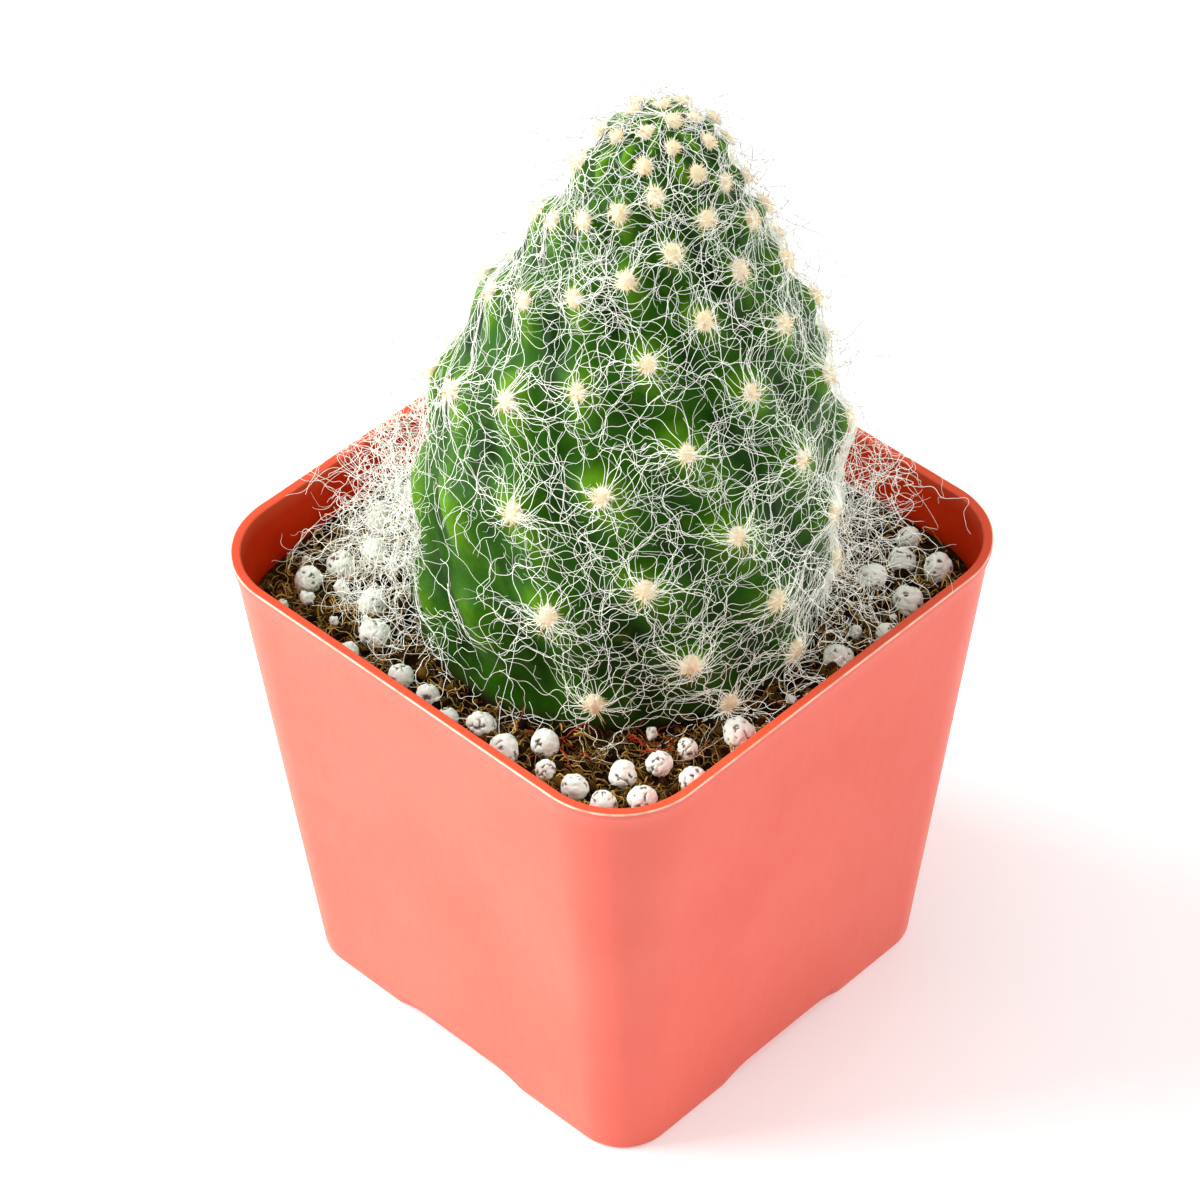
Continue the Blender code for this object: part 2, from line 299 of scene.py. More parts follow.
OUTER_PLASTIC = PotPlastic("pot_coral_outside", (0.90, 0.132, 0.078), (0.87, 0.116, 0.065),
                           (0.55, 0.20, 0.12), 0.08, 0.5, 0.34)
# The inside copy is darker and deeper red than the outside: painted shade inside the pot.
INNER_PLASTIC_SHADED = PotPlastic("pot_coral_inside_painted_shade", (0.80, 0.040, 0.004), (0.66, 0.022, 0.002),
                           (0.46, 0.20, 0.10), 0.5, 0.08, 0.45)


@dataclass(frozen=True)
class Peat:
    """Damp peat coloured by its relief: near-black in the hollows as painted shade, dark brown
    crumbs, and tan on the crests, partly coir dust and partly painted light.
    """

    hollow: Colour = (0.002, 0.001, 0.0003)
    crumb: Colour = (0.018, 0.007, 0.0008)
    crest: Colour = (0.16, 0.075, 0.010)

    def material(self) -> bpy.types.Material:
        """Make the material.

        Returns:
            The material.
        """
        tree = ShaderTree("damp_peat", Metallic=0.0, Specular_IOR_Level=0.08)
        grain = tree.noise(0.9 * MM, 5.0, 0.65)
        # The relief share darkens low places towards near black as painted shade and lightens the
        # crests to tan, partly painted light.
        relief = tree.attribute("relief")
        share = relief * 0.6 + grain * 0.55
        body = tree.colour(share, ((0.28, self.hollow), (0.55, self.crumb), (0.86, self.crest)))
        tree.feed(Base_Color=body, Roughness=0.80 + 0.18 * grain)
        threads = tree.noise(0.5 * MM, 3.0, stretch=(1.0, 0.3, 1.0))
        tree.bump((grain, 0.35 * MM), (threads, 0.12 * MM))
        return tree.material


@dataclass(frozen=True)
class Perlite:
    """Expanded volcanic glass: chalky white with a faint painted glow, a few pits painted dark
    brown as painted shade, and a little peat dust below.
    """

    chalk: Colour = (0.90, 0.95, 0.86)
    stain: Colour = (0.60, 0.46, 0.22)
    pit: Colour = (0.075, 0.032, 0.006)

    def material(self) -> bpy.types.Material:
        """Make the material.

        Returns:
            The material.
        """
        # A faint glow of the chalk colour brightens the grains: painted light.
        tree = ShaderTree("chalky_perlite", Metallic=0.0, Specular_IOR_Level=0.2,
                          Emission_Color=rgba(self.chalk), Emission_Strength=0.03)
        stains = tree.noise(1.6 * MM, 4.0).ramp(0.60, 0.80)
        body = tree.mix(stains * 0.35, rgba(self.chalk), rgba(self.stain))
        # The pits are painted near-black brown: painted shade in the hollows.
        body = tree.mix(tree.attribute("pit"), body, rgba(self.pit))
        froth = tree.cells(0.28 * MM)
        tree.feed(Base_Color=body, Roughness=0.72 + 0.2 * froth)
        tree.bump((froth, 0.025 * MM), (tree.noise(0.7 * MM, 4.0), 0.10 * MM))
        return tree.material


@dataclass(frozen=True)
class StemSkin:
    """Waxy green skin, finely pored. Paler on the ribs and near black-green in the grooves, partly
    the skin's own tone and partly painted shade; darker under the ledges, towards the foot and in a
    thin band above the soil, all painted shade.
    """

    groove: Colour = (0.002, 0.018, 0.0002)
    flank: Colour = (0.017, 0.085, 0.0004)
    crest: Colour = (0.085, 0.225, 0.001)
    bloom: Colour = (0.17, 0.32, 0.012)
    root: Colour = (0.020, 0.018, 0.004)
    haze: Colour = (0.55, 0.85, 0.40)

    def material(self) -> bpy.types.Material:
        """Make the material.

        Returns:
            The material.
        """
        tree = ShaderTree("waxy_green_skin", Metallic=0.0, IOR=1.45, Specular_IOR_Level=0.08,
                          Sheen_Weight=0.08, Sheen_Roughness=0.45, Sheen_Tint=rgba(self.haze))
        patches = tree.noise(6 * MM, 3.0)
        # The crest share carries painted shade: the skin goes dark in the grooves, under the ledges
        # and towards the foot.
        share = tree.attribute("crest") * 0.62 + patches * 0.72
        body = tree.colour(share, ((0.20, self.groove), (0.55, self.flank), (1.0, self.crest)))
        waxy = tree.noise(3.2 * MM, 4.0, 0.6).ramp(0.56, 0.80)
        body = tree.mix(waxy * 0.25, body, rgba(self.bloom))
        # The root's dark colour, carried a short way above the soil line, is painted shade at the
        # foot.
        body = tree.mix(tree.attribute("buried"), body, rgba(self.root))
        pores = tree.cells(0.45 * MM)
        tree.feed(Base_Color=body, Roughness=0.36 + 0.22 * patches)
        tree.bump((pores, 0.025 * MM), (tree.noise(1.8 * MM, 3.0), 0.12 * MM))
        return tree.material


@dataclass(frozen=True)
class Thread:
    """Fine fibre, coloured along a tone that each thread carries, with a painted glow of its pale
    colour where asked.
    """

    name: str
    dark: Colour
    pale: Colour
    roughness: float = 0.55
    painted_glow: float = 0.0
    gloss: float = 0.4
    grain: float = 1.2 * MM

    def material(self) -> bpy.types.Material:
        """Make the material.

        Returns:
            The material.
        """
        tree = ShaderTree(self.name, Metallic=0.0, Roughness=self.roughness,
                          Specular_IOR_Level=self.gloss, Emission_Color=rgba(self.pale),
                          Emission_Strength=self.painted_glow)
        mottle = tree.noise(self.grain, 2.0).ramp(0.3, 0.7)
        share = tree.attribute("tone") * 0.8 + mottle * 0.2
        tree.feed(Base_Color=tree.mix(share, rgba(self.dark), rgba(self.pale)))
        return tree.material


# Wool and felt get a glow of their pale colour: painted light.
WOOL = Thread("white_wool", (0.74, 0.74, 0.60), (0.96, 0.97, 0.88), 0.5, 0.36)
# The wisps use a greyer copy of the white wool: painted shade.
WISP = Thread("grey_wisp_painted_shade", (0.58, 0.58, 0.54), (0.84, 0.84, 0.80), 0.5)
FELT = Thread("cream_felt", (0.80, 0.52, 0.20), (0.94, 0.87, 0.66), 0.7, 0.16)
SPINE = Thread("amber_spine", (0.42, 0.18, 0.045), (0.88, 0.64, 0.28), 0.4)
COIR = Thread("coir_fibre", (0.040, 0.016, 0.0012), (0.90, 0.54, 0.13), 0.65, 0.0, 0.10)
RUST = Thread("rust_fibre", (0.30, 0.018, 0.004), (0.62, 0.075, 0.012), 0.6, 0.0, 0.2)


# ---------------------------------------------------------------- mesh building


def add_object(name: str, data: Any) -> bpy.types.Object:
    """Put a new object that shows some data into the scene.

    Args:
        name: the object's name.
        data: its mesh, curve, lamp or camera.

    Returns:
        The object.
    """
    item = bpy.data.objects.new(name, data)
    bpy.context.scene.collection.objects.link(item)
    return item


def finish_piece(name: str, mesh: bpy.types.Mesh, material: bpy.types.Material, slot: Slot,
                 *nodes: str) -> bpy.types.Object:
    """Turn a mesh into a piece that rides on the body.

    Args:
        name: the piece's name.
        mesh: its mesh, already in place.
        material: its material.
        slot: the record's slot; not used.
        nodes: the CAD nodes that it stands for.

    Returns:
        The piece.
    """
    mesh.name = name
    while mesh.materials:
        mesh.materials.pop()
    mesh.materials.append(material)
    mesh.shade_smooth()
    piece = add_object(name, mesh)
    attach(piece, BODY)
    if nodes:
        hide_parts(*nodes)
    log.info("%s: %d faces", name, len(mesh.polygons))
    return piece


def mesh_from(bm: bmesh.types.BMesh) -> bpy.types.Mesh:
    """Turn a bmesh into a mesh and free it.

    Args:
        bm: the finished bmesh.

    Returns:
        The mesh.
    """
    mesh = bpy.data.meshes.new("piece")
    bm.to_mesh(mesh)
    bm.free()
    return mesh


def get_places(mesh: bpy.types.Mesh) -> Place:
    """Read where a mesh's vertices are.

    Args:
        mesh: the mesh.

    Returns:
        Rows of places.
    """
    flat = np.empty(len(mesh.vertices) * 3)
    mesh.vertices.foreach_get("co", flat)
    return flat.reshape(-1, 3)


def store(mesh: bpy.types.Mesh, name: str, values: Place) -> None:
    """Keep one number for each vertex of a mesh.

    Args:
        mesh: the mesh.
        name: the attribute that holds the numbers.
        values: one number for each vertex.
    """
    layer = mesh.attributes.new(name, "FLOAT", "POINT")
    layer.data.foreach_set("value", np.asarray(values, dtype=np.float32).ravel())


def skin_over(rings: Sequence[Place], **numbers: Sequence[Place]) -> bpy.types.Mesh:
    """Stretch one sheet over rings of points and sew it into a closed shell.

    Args:
        rings: arrays of points, all as long, each going once round; a pole is one point.
        numbers: numbers to keep on the mesh, an array for each ring.

    Returns:
        The mesh, its seam and poles merged and its faces pointing out.
    """
    columns = max(len(ring) for ring in rings)
    wide = [np.broadcast_to(ring, (columns, 3)) for ring in rings]
    grid = np.array([np.vstack((ring, ring[:1])) for ring in wide])
    bm = bmesh.new()
    bmesh.ops.create_grid(bm, x_segments=columns, y_segments=len(rings) - 1, size=0.5)
    layers = {name: bm.verts.layers.float.new(name) for name in numbers}
    for vert in bm.verts:
        column = round((vert.co.x + 0.5) * columns)
        row = round((vert.co.y + 0.5) * (len(rings) - 1))
        vert.co = grid[row, column]
        for name, layer in layers.items():
            vert[layer] = float(np.broadcast_to(numbers[name][row], (columns,))[column % columns])
    bmesh.ops.remove_doubles(bm, verts=bm.verts, dist=SAME_PLACE)
    bmesh.ops.recalc_face_normals(bm, faces=bm.faces)
    return mesh_from(bm)


def cloudy(places: Place, size: float, seed: float, octaves: int = 1) -> Place:
    """Smooth noise at each place.

    Args:
        places: rows of points.
        size: width of one cloud.
        seed: shift that picks another pattern.
        octaves: how many finer layers are stacked.

    Returns:
        Numbers between about -1 and 1.
    """
    shift = Vector((seed, seed * 1.7, -seed))
    if octaves == 1:
        return np.array([noise.noise(Vector(place) / size + shift) for place in places])
    return np.array([noise.fractal(Vector(place) / size + shift, 1.0, 2.0, octaves)
                     for place in places])


def creased(places: Place, size: float, seed: float) -> Place:
    """How close each place is to a crease between rounded lumps.

    Args:
        places: rows of points.
        size: width of one lump.
        seed: shift that picks another pattern.

    Returns:
        Numbers from 0 on a lump to 1 in a crease.
    """
    shift = Vector((seed, -seed, seed * 1.3))
    sharpness = 2.5
    near = [noise.voronoi(Vector(place) / size + shift)[0] for place in places]
    return np.array([max(0.0, 1.0 - sharpness * (far[1] - far[0])) for far in near])


def level(bearing: Any, radius: Any) -> Place:
    """Level vectors of a length at a bearing."""
    flat = np.zeros(np.shape(np.cos(bearing) * radius))
    return np.stack((np.cos(bearing) * radius, np.sin(bearing) * radius, flat), axis=-1)


@dataclass
class Bundle:
    """Fine tapered threads gathered in one mesh, each a three-sided tube."""

    paths: list[Place] = field(default_factory=list)
    widths: list[Place] = field(default_factory=list)
    tones: list[float] = field(default_factory=list)
    corners: tuple[float, ...] = (0.0, -TURN / 3.0, TURN / 3.0)
    shortest_step: float = 1e-3 * MM

    def add(self, path: Place, radius: float, tip: float, tone: float) -> None:
        """Add one thread.

        Args:
            path: its points in order.
            radius: half its thickness at the root.
            tip: share of the radius left at the tip.
            tone: where it lies between the finish's dark and pale colours.
        """
        moved = np.linalg.norm(np.diff(path, axis=0), axis=1) > self.shortest_step
        path = path[np.concatenate(([True], moved))]
        share = np.linspace(0.0, 1.0, len(path))
        self.paths.append(path)
        self.widths.append(radius * (1.0 - (1.0 - tip) * share ** 2))
        self.tones.append(tone)

    def build(self) -> bpy.types.Mesh:
        """Sweep a triangle along every path.

        Returns:
            The mesh, its tubes closed and "tone" stored on it.
        """
        sides = len(self.corners)
        profile = self._curve("profile", 2)
        outline = profile.data.splines.new("POLY")
        outline.points.add(sides - 1)
        for point, bearing in zip(outline.points, self.corners):
            point.co = (math.cos(bearing), math.sin(bearing), 0.0, 1.0)
        outline.use_cyclic_u = True
        swept = self._curve("threads", 3)
        swept.data.bevel_mode = "OBJECT"
        swept.data.bevel_object = profile
        for path, width in zip(self.paths, self.widths):
            spline = swept.data.splines.new("POLY")
            spline.points.add(len(path) - 1)
            spline.points.foreach_set("co", np.column_stack((path, np.ones(len(path)))).ravel())
            spline.points.foreach_set("radius", width)
        depsgraph = bpy.context.evaluated_depsgraph_get()
        tubes = bpy.data.meshes.new_from_object(swept.evaluated_get(depsgraph))
        bm = bmesh.new()
        bm.from_mesh(tubes)
        open_ends = [edge for edge in bm.edges if edge.is_boundary]
        bmesh.ops.holes_fill(bm, edges=open_ends, sides=sides)
        mesh = mesh_from(bm)
        tones = np.concatenate([np.full(sides * len(path), tone)
                                for path, tone in zip(self.paths, self.tones)])
        store(mesh, "tone", tones)
        bpy.data.meshes.remove(tubes)
        for item in (swept, profile):
            bpy.data.objects.remove(item, do_unlink=True)
        return mesh

    @staticmethod
    def _curve(name: str, dimensions: int) -> bpy.types.Object:
        """Start an empty curve object in the scene.

        Args:
            name: the object's name.
            dimensions: 2 for a flat curve or 3 for one in space.

        Returns:
            The object.
        """
        curve = bpy.data.curves.new(name, "CURVE")
        curve.dimensions = f"{dimensions}D"
        return add_object(name, curve)


# ---------------------------------------------------------------- pot


@dataclass
class NurseryPot:
    """Thin square pot: drafted walls, flat rolled lip, channels and holes underneath."""

    height: float = 60.5 * MM
    wall: float = 0.9 * MM
    draft: float = math.radians(5.8)
    soil_half: float = 31.0 * MM
    soil_level: float = 53.5 * MM
    top_corner: float = 10.0 * MM
    base_corner: float = 6.1 * MM
    base_edge: float = 0.5 * MM
    lip_proud: float = 0.25 * MM
    lip_height: float = 1.3 * MM
    lip_round: float = 0.17 * MM
    lip_flat: float = 0.03 * MM
    lip_rise: float = 1.6
    lip_wave: float = 0.10 * MM
    wave_start: float = 0.75
    wave_count: float = 3.0
    wave_phase: float = 0.7
    pad_height: float = 1.5 * MM
    floor: float = 1.1 * MM
    channel_roof: float = 14.0 * MM
    channel_foot: float = 21.0 * MM
    channel_round: float = 1.6 * MM
    channel_steps: int = 6
    channel_length: float = 1.5
    drain_diameter: float = 6.5 * MM
    drain_reach: float = 13.0 * MM
    drain_depth: float = 12.0 * MM
    drain_sides: int = 40
    round_steps: int = 4
    side_steps: int = 36
    corner_steps: int = 22
    wall_steps: int = 30

    def half_width(self, height: Any) -> Any:
        """Half the outer width at a height."""
        return self.soil_half + (height - self.soil_level) * math.tan(self.draft)

    def ring(self, inset: float, height: float) -> Place:
        """Points round the pot, a distance inside its outer face, at a height.

        Args:
            inset: distance inside the outer face.
            height: height above the ground.

        Returns:
            Rows of points, counter-clockwise seen from above.
        """
        share = height / self.height
        corner = self.base_corner + (self.top_corner - self.base_corner) * share - inset
        half = self.half_width(height) - inset
        straight = half - corner
        points = []
        for turn in range(4):
            facing = turn * TURN / 4.0
            along, outward = level(facing + TURN / 4.0, 1.0), level(facing, 1.0)
            for step in range(self.side_steps):
                across = straight * (2.0 * step / self.side_steps - 1.0)
                points.append(outward * half + along * across)
            bend = facing + np.arange(self.corner_steps) / self.corner_steps * TURN / 4.0
            points.extend((outward + along) * straight + level(bend, corner))
        places = np.array(points)
        places[:, 2] = height
        return places

    def _outline(self) -> list[tuple[float, float, float, float, float]]:
        """Rings of the pot's section, from the foot over the lip to the floor.

        Returns:
            Inset, height, and the shares "inside", "rim" and "edge" of each ring.
        """
        low = self.height - self.lip_height
        floor_top = self.pad_height + self.floor
        rows = []
        for step in range(self.round_steps + 1):
            bend = step / self.round_steps * TURN / 4.0
            rows.append((self.base_edge * (1.0 - math.sin(bend)),
                         self.base_edge * (1.0 - math.cos(bend)), 0.0, 0.0, 0.0))
        for step in range(1, self.wall_steps):
            share = step / self.wall_steps
            rows.append((0.0, self.base_edge + (low - self.base_edge) * share, 0.0, 0.0, 0.0))
        for step in range(self.round_steps + 1):
            share = step / self.round_steps
            rows.append((-self.lip_proud * (3 * share**2 - 2 * share**3),
                         low + self.lip_proud * self.lip_rise * share, 0.0, 0.0, 0.0))
        outer = self.lip_round - self.lip_proud
        # The "edge" share on the lip's outer rounding places the painted highlight.
        for step in range(self.round_steps + 1):
            bend = step / self.round_steps * TURN / 4.0
            rows.append((outer - self.lip_round * math.cos(bend),
                         self.height - self.lip_round * (1.0 - math.sin(bend)),
                         0.0, 0.0, float(step > 0)))
        # The rim share on the lip's flat top and inner rounding places painted shade there.
        rows.append((outer + self.lip_flat, self.height, 0.0, 1.0, 0.0))
        inner = self.wall - self.lip_round
        for step in range(self.round_steps + 1):
            bend = (1.0 + step / self.round_steps) * TURN / 4.0
            rows.append((inner - self.lip_round * math.cos(bend),
                         self.height - self.lip_round * (1.0 - math.sin(bend)),
                         step / self.round_steps, 1.0, 0.0))
        for step in range(1, self.wall_steps):
            share = step / self.wall_steps
            drop = (self.height - self.lip_round - floor_top - self.base_edge) * share
            rows.append((self.wall, self.height - self.lip_round - drop, 1.0, 0.0, 0.0))
        rows.append((self.wall + self.base_edge, floor_top, 1.0, 0.0, 0.0))
        return rows

    def build(self) -> bpy.types.Mesh:
        """Model the pot.

        Returns:
            The pot's mesh, with the shares "inside", "rim" and "edge" stored on it.
        """
        rings, shares = [np.zeros((1, 3))], [(0.0, 0.0, 0.0)]
        for inset, height, *share in self._outline():
            ring = self.ring(inset, height)
            lift = max(0.0, height / self.height - self.wave_start) / (1.0 - self.wave_start)
            around = np.arctan2(ring[:, 1], ring[:, 0])
            wave = (np.sin(self.wave_count * around + self.wave_phase) - 1.0) * 0.5
            ring[:, 2] += self.lip_wave * lift * wave
            rings.append(ring)
            shares.append(tuple(share))
        rings.append(np.array([[0.0, 0.0, self.pad_height + self.floor]]))
        shares.append((1.0, 0.0, 0.0))
        inside, rim, edge = zip(*shares)
        mesh = self._cut(skin_over(rings, inside=inside, rim=rim, edge=edge))
        inner_share = 0.6
        within = np.empty(len(mesh.vertices))
        mesh.attributes["inside"].data.foreach_get("value", within)
        for face in mesh.polygons:
            # Inner faces take the second, darker material: painted shade inside the pot.
            face.material_index = int(min(within[vert] for vert in face.vertices) > inner_share)
        return mesh

    def _cut(self, shell: bpy.types.Mesh) -> bpy.types.Mesh:
        """Cut the drainage channels and holes out of the shell.

        Args:
            shell: the pot's closed shell.

        Returns:
            The cut mesh.
        """
        body = add_object("pot_blank", shell)
        cutters = (self._bar(0.0), self._bar(TURN / 4.0), self._pins())
        guides = [add_object("cutter", mesh_from(bm)) for bm in cutters]
        for guide in guides:
            cut = body.modifiers.new("cut", "BOOLEAN")
            cut.operation, cut.solver, cut.object = "DIFFERENCE", "EXACT", guide
        depsgraph = bpy.context.evaluated_depsgraph_get()
        mesh = bpy.data.meshes.new_from_object(body.evaluated_get(depsgraph))
        for item in (body, *guides):
            bpy.data.objects.remove(item, do_unlink=True)
        return mesh

    def _bar(self, facing: float) -> bmesh.types.BMesh:
        """Wedge-sided bar for one drainage channel, with rounded roof edges.

        Args:
            facing: bearing along which the channel runs.

        Returns:
            The bar.
        """
        bm = bmesh.new()
        bmesh.ops.create_cube(bm, size=2.0)
        slope = (self.channel_foot - self.channel_roof) / 2.0
        for vert in bm.verts:
            half = self.channel_roof / 2.0 if vert.co.z > 0 else self.channel_foot / 2.0 + slope
            vert.co = (vert.co.x * self.half_width(0.0) * self.channel_length,
                       vert.co.y * half, vert.co.z * self.pad_height)
        roof = [edge for edge in bm.edges
                if all(vert.co.z > 0 for vert in edge.verts)
                and abs(edge.verts[0].co.y - edge.verts[1].co.y) < SAME_PLACE]
        bmesh.ops.bevel(bm, geom=roof, offset=self.channel_round, offset_type="OFFSET",
                        affect="EDGES", segments=self.channel_steps, profile=0.5, material=-1)
        bmesh.ops.rotate(bm, verts=bm.verts, matrix=Matrix.Rotation(facing, 3, "Z"))
        return bm

    def _pins(self) -> bmesh.types.BMesh:
        """One pin for each drain hole.

        Returns:
            The pins.
        """
        bm = bmesh.new()
        radius = self.drain_diameter / 2.0
        places = [Vector((0.0, 0.0, 0.0))]
        places += [Vector(level(turn * TURN / 4.0, self.drain_reach)) for turn in range(4)]
        for place in places:
            pin = bmesh.ops.create_cone(bm, cap_ends=True, segments=self.drain_sides,
                                        depth=self.drain_depth, radius1=radius, radius2=radius)
            bmesh.ops.translate(bm, verts=pin["verts"], vec=place)
        return bm

    def dress(self) -> None:
        """Build the pot and put it in place of its CAD node."""
        piece = finish_piece("nursery_pot", self.build(), OUTER_PLASTIC.material(), Slot.POT, "pot")
        # The darker inside material is painted shade inside the pot.
        piece.data.materials.append(INNER_PLASTIC_SHADED.material())


# ---------------------------------------------------------------- stem


@dataclass(frozen=True)
class Areole:
    """One woolly cushion on a rib: where it sits, which way it faces, and how big it is."""

    bearing: float
    height: float
    place: Vector
    normal: Vector
    size: float


@dataclass
class CactusStem:
    """Ribbed column: broad low ribs that wind slowly, swollen under every areole."""

    radius: float = 23.2 * MM
    height: float = 63.5 * MM
    soil_level: float = 53.5 * MM
    base: tuple[float, float] = (0.0, 0.6 * MM)
    lean: tuple[float, float] = (3.4 * MM, 4.0 * MM)
    root_radius: float = 7.0 * MM
    root_shoulder: float = 6.0 * MM
    root_depth: float = 14.0 * MM
    ribs: int = 12
    rib_depth: float = 1.5 * MM
    rib_fade: float = 4.0 * MM
    swelling: float = 1.3 * MM
    ledge: float = 1.5 * MM
    ledge_share: float = 0.28
    steepest: float = 1.2
    hollow_shade: float = 0.65
    shaded: float = 20.0 * MM
    rib_start: float = math.radians(-39.0)
    rib_twist: float = math.radians(14.0)
    areole_offset: float = 5.0 / 12.0
    areole_reach: float = 76.0 * MM
    areole_rate: float = 0.157
    areole_first: float = 0.63
    areole_top: float = 0.95
    lowest: float = 0.9 * MM
    tip_areoles: int = 15
    tip_start: float = 0.935
    tip_spacing: float = 1.75 * MM
    sunk: float = 0.15 * MM
    shrinking: float = 0.30
    unlike: float = 0.12
    foot_shade_height: float = 1.5 * MM
    root_rows: int = 10
    golden: float = math.radians(137.5)
    columns: int = 384
    rows: int = 190
    outline: tuple[tuple[float, float], ...] = (
        (0.00, 0.96), (0.12, 0.99), (0.25, 1.00), (0.37, 0.975), (0.50, 0.885), (0.62, 0.74),
        (0.74, 0.57), (0.85, 0.41), (0.93, 0.31), (0.98, 0.20), (1.00, 0.06),
    )

    def plain_radius(self, height: Any) -> Place:
        """Radius without ribs, smooth through the outline's points.

        Args:
            height: heights above the soil.

        Returns:
            The radii.
        """
        at, wide = np.array(self.outline).T
        slopes = np.empty_like(wide)
        slopes[1:-1] = (wide[2:] - wide[:-2]) / (at[2:] - at[:-2])
        slopes[0] = (wide[1] - wide[0]) / (at[1] - at[0])
        slopes[-1] = (wide[-1] - wide[-2]) / (at[-1] - at[-2])
        share = np.clip(np.asarray(height, dtype=float) / self.height, 0.0, 1.0)
        index = np.clip(np.searchsorted(at, share, side="right") - 1, 0, len(at) - 2)
        width = at[index + 1] - at[index]
        t = (share - at[index]) / width
        found = ((2 * t**3 - 3 * t**2 + 1) * wide[index]
                 + (t**3 - 2 * t**2 + t) * width * slopes[index]
                 + (3 * t**2 - 2 * t**3) * wide[index + 1]
                 + (t**3 - t**2) * width * slopes[index + 1])
        return found * self.radius

    def slope(self, height: Any) -> Place:
        """How fast the plain radius grows with height, which is below 0 where it tapers."""
        step = 0.4 * MM
        return (self.plain_radius(height + step) - self.plain_radius(height - step)) / (2.0 * step)

    def passed(self, height: Any) -> Place:
        """Areoles passed along a rib up to a height, with a fraction."""
        share = np.clip(np.asarray(height, dtype=float) / self.areole_reach, 0.0, self.areole_top)
        return self.areole_first + np.arctanh(share) / self.areole_rate

    def relief(self, bearing: Any, height: Any) -> tuple[Place, Place]:
        """Ribs and swellings.

        Args:
            bearing: bearings from the stem's middle.
            height: heights above the soil.

        Returns:
            The radius, and how far up the ribs and swellings each place is, from 0 to 1, lowered
            under the ledges and towards the foot as painted shade.
        """
        plain = self.plain_radius(height)
        passed = self.passed(height)
        turned = (bearing - self.rib_start + self.rib_twist * passed) / (TURN / self.ribs)
        rib = np.round(turned)
        crest = 0.5 + 0.5 * np.cos(TURN * (turned - rib))
        above = (passed - rib * self.areole_offset) % 1.0
        drop = np.minimum(above / self.ledge_share, (1.0 - above) / (1.0 - self.ledge_share))
        drop = drop**2 * (3.0 - 2.0 * drop)
        fade = np.minimum(height / self.rib_fade, 1.0) * np.sqrt(plain / self.radius)
        depth = self.swelling + self.ledge * np.clip(-self.slope(height), 0.0, self.steepest)
        low = self.rib_depth * (1.0 - crest) + depth * drop * np.sqrt(crest)
        # Painted shade: the crest share drops under each ledge and falls to half at the foot.
        shade = 0.5 + 0.5 * np.clip(height / self.shaded, 0.0, 1.0)
        return plain - fade * low, crest * (1.0 - self.hollow_shade * drop) * shade

    def centre(self, height: Any) -> Place:
        """The stem's middle, which leans a little.

        Args:
            height: heights above the soil.

        Returns:
            The places.
        """
        height = np.asarray(height, dtype=float)
        share = np.maximum(height, 0.0) / self.height
        return np.stack((self.base[0] + self.lean[0] * share, self.base[1] + self.lean[1] * share,
                         self.soil_level + height), axis=-1)

    def on_skin(self, bearing: Any, height: Any, lift: Any = 0.0, follow: float = 0.0) -> Place:
        """Places on the stem.

        Args:
            bearing: bearings from the stem's middle.
            height: heights above the soil.
            lift: how far they stand off along the plain outline's normal.
            follow: 0 to stay on the plain outline, 1 to dip into the relief.

        Returns:
            The places.
        """
        radius = self.plain_radius(height) * (1.0 - follow)
        if follow:
            radius = radius + self.relief(bearing, height)[0] * follow
        return (self.centre(height) + level(bearing, radius)
                + self.facing(bearing, height) * np.asarray(lift)[..., None])

    def facing(self, bearing: Any, height: Any) -> Place:
        """Unit vectors that stand on the plain outline.

        Args:
            bearing: bearings from the stem's middle.
            height: heights above the soil.

        Returns:
            The vectors.
        """
        slope = self.slope(height)
        out = level(bearing, 1.0)
        out[..., 2] = -slope
        return out / np.sqrt(1.0 + slope[..., None] ** 2)

    def areoles(self) -> list[Areole]:
        """Every areole up the ribs, with a few more that crowd the tip.

        Returns:
            The areoles, the tip's last.
        """
        first, last, start_gap = -1, 12, 0.4
        tip_steps, tip_middle = 40, 0.3
        found = []
        for rib in range(self.ribs):
            for turn in range(first, last):
                passed = turn + rib * self.areole_offset
                height = self.areole_reach * math.tanh(
                    self.areole_rate * (passed - self.areole_first))
                low = passed <= self.areole_first - start_gap
                if low or height > self.height * self.tip_start:
                    continue
                bearing = self.rib_start + rib * TURN / self.ribs - self.rib_twist * passed
                found.append(self._areole(bearing, max(height, self.lowest)))
        heights = self.height * np.linspace(1.0, self.tip_start, tip_steps)
        for step in range(self.tip_areoles):
            radius = self.tip_spacing * math.sqrt(step + tip_middle)
            height = float(np.interp(radius, self.plain_radius(heights), heights))
            found.append(self._areole(step * self.golden, height))
        return found

    def _areole(self, bearing: float, height: float) -> Areole:
        """Make one areole; they shrink towards the tip.

        Args:
            bearing: its bearing from the stem's middle.
            height: its height above the soil.

        Returns:
            The areole.
        """
        scatter = 47.0
        place = Vector(self.on_skin(bearing, height, -self.sunk))
        normal = Vector(self.facing(bearing, height))
        size = 1.0 - self.shrinking * (height / self.height) ** 2
        size *= 1.0 + self.unlike * math.sin(bearing * scatter)
        return Areole(bearing, height, place, normal, size)

